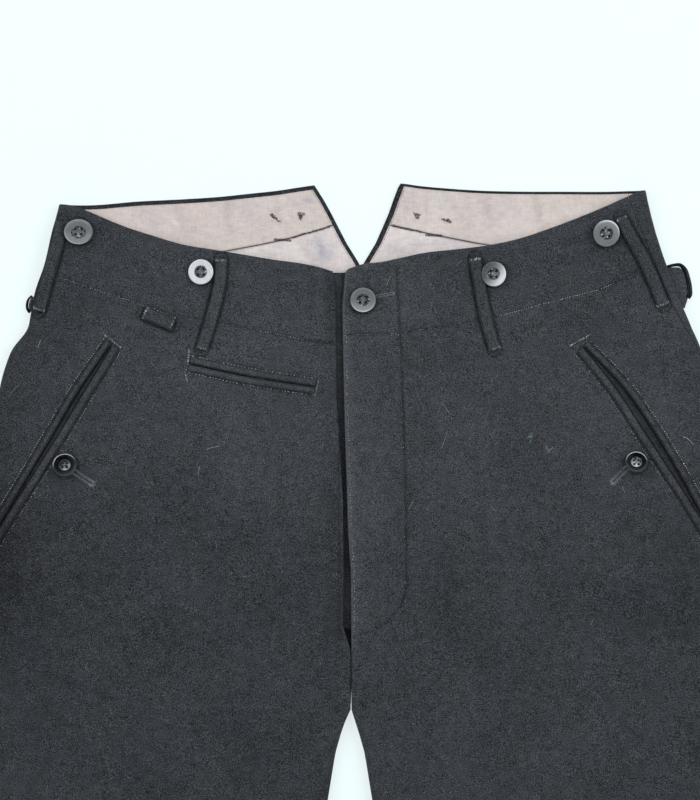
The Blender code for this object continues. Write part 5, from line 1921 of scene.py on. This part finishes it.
def floor_finish():
    """Table of white glass, lit a little from beneath so that it shows hardly any shadow."""
    made = Finish("table_top", Roughness=0.9, Specular_IOR_Level=0.1, Emission_Strength=0.68)
    cloud = made.noise(400.0, 2.0, 0.5)
    made.colour(made.tint((0.20, 0.27, 0.28), made.weigh((cloud, 0.02))))
    made.shader.inputs["Emission Color"].default_value = (0.96, 1.0, 1.0, 1.0)
    return made.material


# ---------------------------------------------------------------- table, light and camera

VIEW_TALL = 528.0  # height of the table that the picture covers
VIEW_CENTRE_Y = -87.1
LENS, SENSOR = 200.0, 36.0
FLOOR_REACH = 4000.0
LAMP_COLOUR = (1.0, 1.0, 0.99)
# Soft lamps round the table: place from the middle of the picture in metres, size, power in watts
LAMPS = (
    ("softbox_left", -1.35, 0.35, 1.25, (1.3, 1.0), 15.0),
    ("softbox_right", 1.35, 0.45, 1.2, (1.3, 1.0), 20.0),
    ("window", 0.0, 1.6, 0.95, (1.6, 0.5), 9.0),
    ("near_strip", 0.0, -1.45, 0.85, (1.3, 0.4), 6.0),
    ("glint_left", -0.42, 0.9, 1.4, (0.16, 0.16), 2.4),
    ("glint_right", 0.85, 0.35, 1.3, (0.16, 0.16), 1.6),
)


def add_light(name, place, aim, size, watts):
    data = bpy.data.lights.new(name, "AREA")
    data.shape = "RECTANGLE"
    data.size, data.size_y = size
    data.energy = watts
    data.color = LAMP_COLOUR
    lamp = bpy.data.objects.new(name, data)
    lamp.location = place
    aim = Vector(aim) - Vector(place)
    lamp.rotation_euler = aim.to_track_quat("-Z", "Y").to_euler()
    lamp.visible_camera = False
    bpy.context.scene.collection.objects.link(lamp)


def add_studio():
    scene = bpy.context.scene
    centre_y = (VIEW_CENTRE_Y - MIDDLE_Y) * MM
    corners = ((-1, -1), (1, -1), (1, 1), (-1, 1))
    points = [(sx * FLOOR_REACH, MIDDLE_Y + sy * FLOOR_REACH, -0.2) for sx, sy in corners]
    floor = make_mesh("table_top", points, [np.array([[0, 1, 2, 3]])], floor_finish())
    world = bpy.data.worlds.new("studio")
    world.use_nodes = True
    sky = world.node_tree.nodes["Background"]
    sky.inputs["Color"].default_value = (0.93, 0.97, 1.0, 1.0)
    sky.inputs["Strength"].default_value = 0.42
    scene.world = world
    centre = (0.0, centre_y, 0.0)
    for name, x, y, z, size, watts in LAMPS:
        add_light(name, (x, centre_y + y, z), centre, size, watts)
    lens = bpy.data.cameras.new("camera")
    lens.lens, lens.sensor_width = LENS, SENSOR
    lens.clip_start, lens.clip_end = 0.1, 30.0
    camera = bpy.data.objects.new("camera", lens)
    high = VIEW_TALL / 2 * MM * LENS / (SENSOR / 2) + FRONT_Z * MM
    camera.location = (0.0, centre_y, high)
    scene.collection.objects.link(camera)
    scene.camera = camera
    scene.view_settings.view_transform = "Standard"


# ---------------------------------------------------------------- all of it


def build():
    add_studio()
    wool = wool_finish("charcoal_wool", (0.0318, 0.0353, 0.0404))
    # painted shade: the pocket facing is a darker copy of the wool, as it lies in shadow down in
    # the mouth
    facing = wool_finish("shaded_pocket_facing", (0.0185, 0.0212, 0.0220), 0.6)
    twill = cotton_finish("facing_cotton", (0.475, 0.418, 0.398), (0.458, 0.420, 0.408))
    calico = cotton_finish("lining_cotton", (0.520, 0.474, 0.464), (0.500, 0.468, 0.468))
    pale = thread_finish("pale_thread", (0.25, 0.26, 0.285))
    purl = thread_finish("purl_thread", (0.110, 0.124, 0.144))
    dark = thread_finish("dark_thread", (0.035, 0.028, 0.036))
    horn = horn_finish("dark_button", (0.116, 0.124, 0.132), (0.06, 0.066, 0.072), 0.4, 0.75, 0.3)
    # painted reflection: a lit copy of the horn, for the one button whose rim mirrors the lamps
    bright = horn_finish("painted_reflection_button", (0.46, 0.48, 0.51), (0.07, 0.075, 0.08), 0.8, 0.5)
    # painted reflection: the black glossy buttons' dished centres are pale grey
    black, painted_shadow_and_reflection = (0.002, 0.003, 0.0038), (0.24, 0.265, 0.27)
    glossy = horn_finish("black_glossy_button", black, painted_shadow_and_reflection, 0.04, 1.4, 0.03)
    # painted shade: the walls of the button holes are near black
    hole = thread_finish("button_hole", (0.004, 0.004, 0.005))
    sewing = thread_finish("button_thread", (0.19, 0.20, 0.22))
    wire = wire_finish()
    for side in (RIGHT, LEFT):
        add_back(side, wool)
        add_front(side, wool)
        add_cotton(side, twill, calico)
        add_band(side, wool)
    add_stand(wool)
    add_loops(wool)
    add_pockets(wool, facing)
    add_cinches(wool, wire)
    add_buttons(horn, bright, glossy, hole, sewing)
    add_top_stitching(pale)
    add_bars(pale)
    add_buttonholes(purl)
    add_cotton_threads(dark)
    add_band_stitching(pale)
    white = thread_finish("white_hair", (0.30, 0.31, 0.32))
    add_lint(white, thread_finish("green_lint", (0.20, 0.34, 0.28)))


build()
bpy.context.view_layer.update()
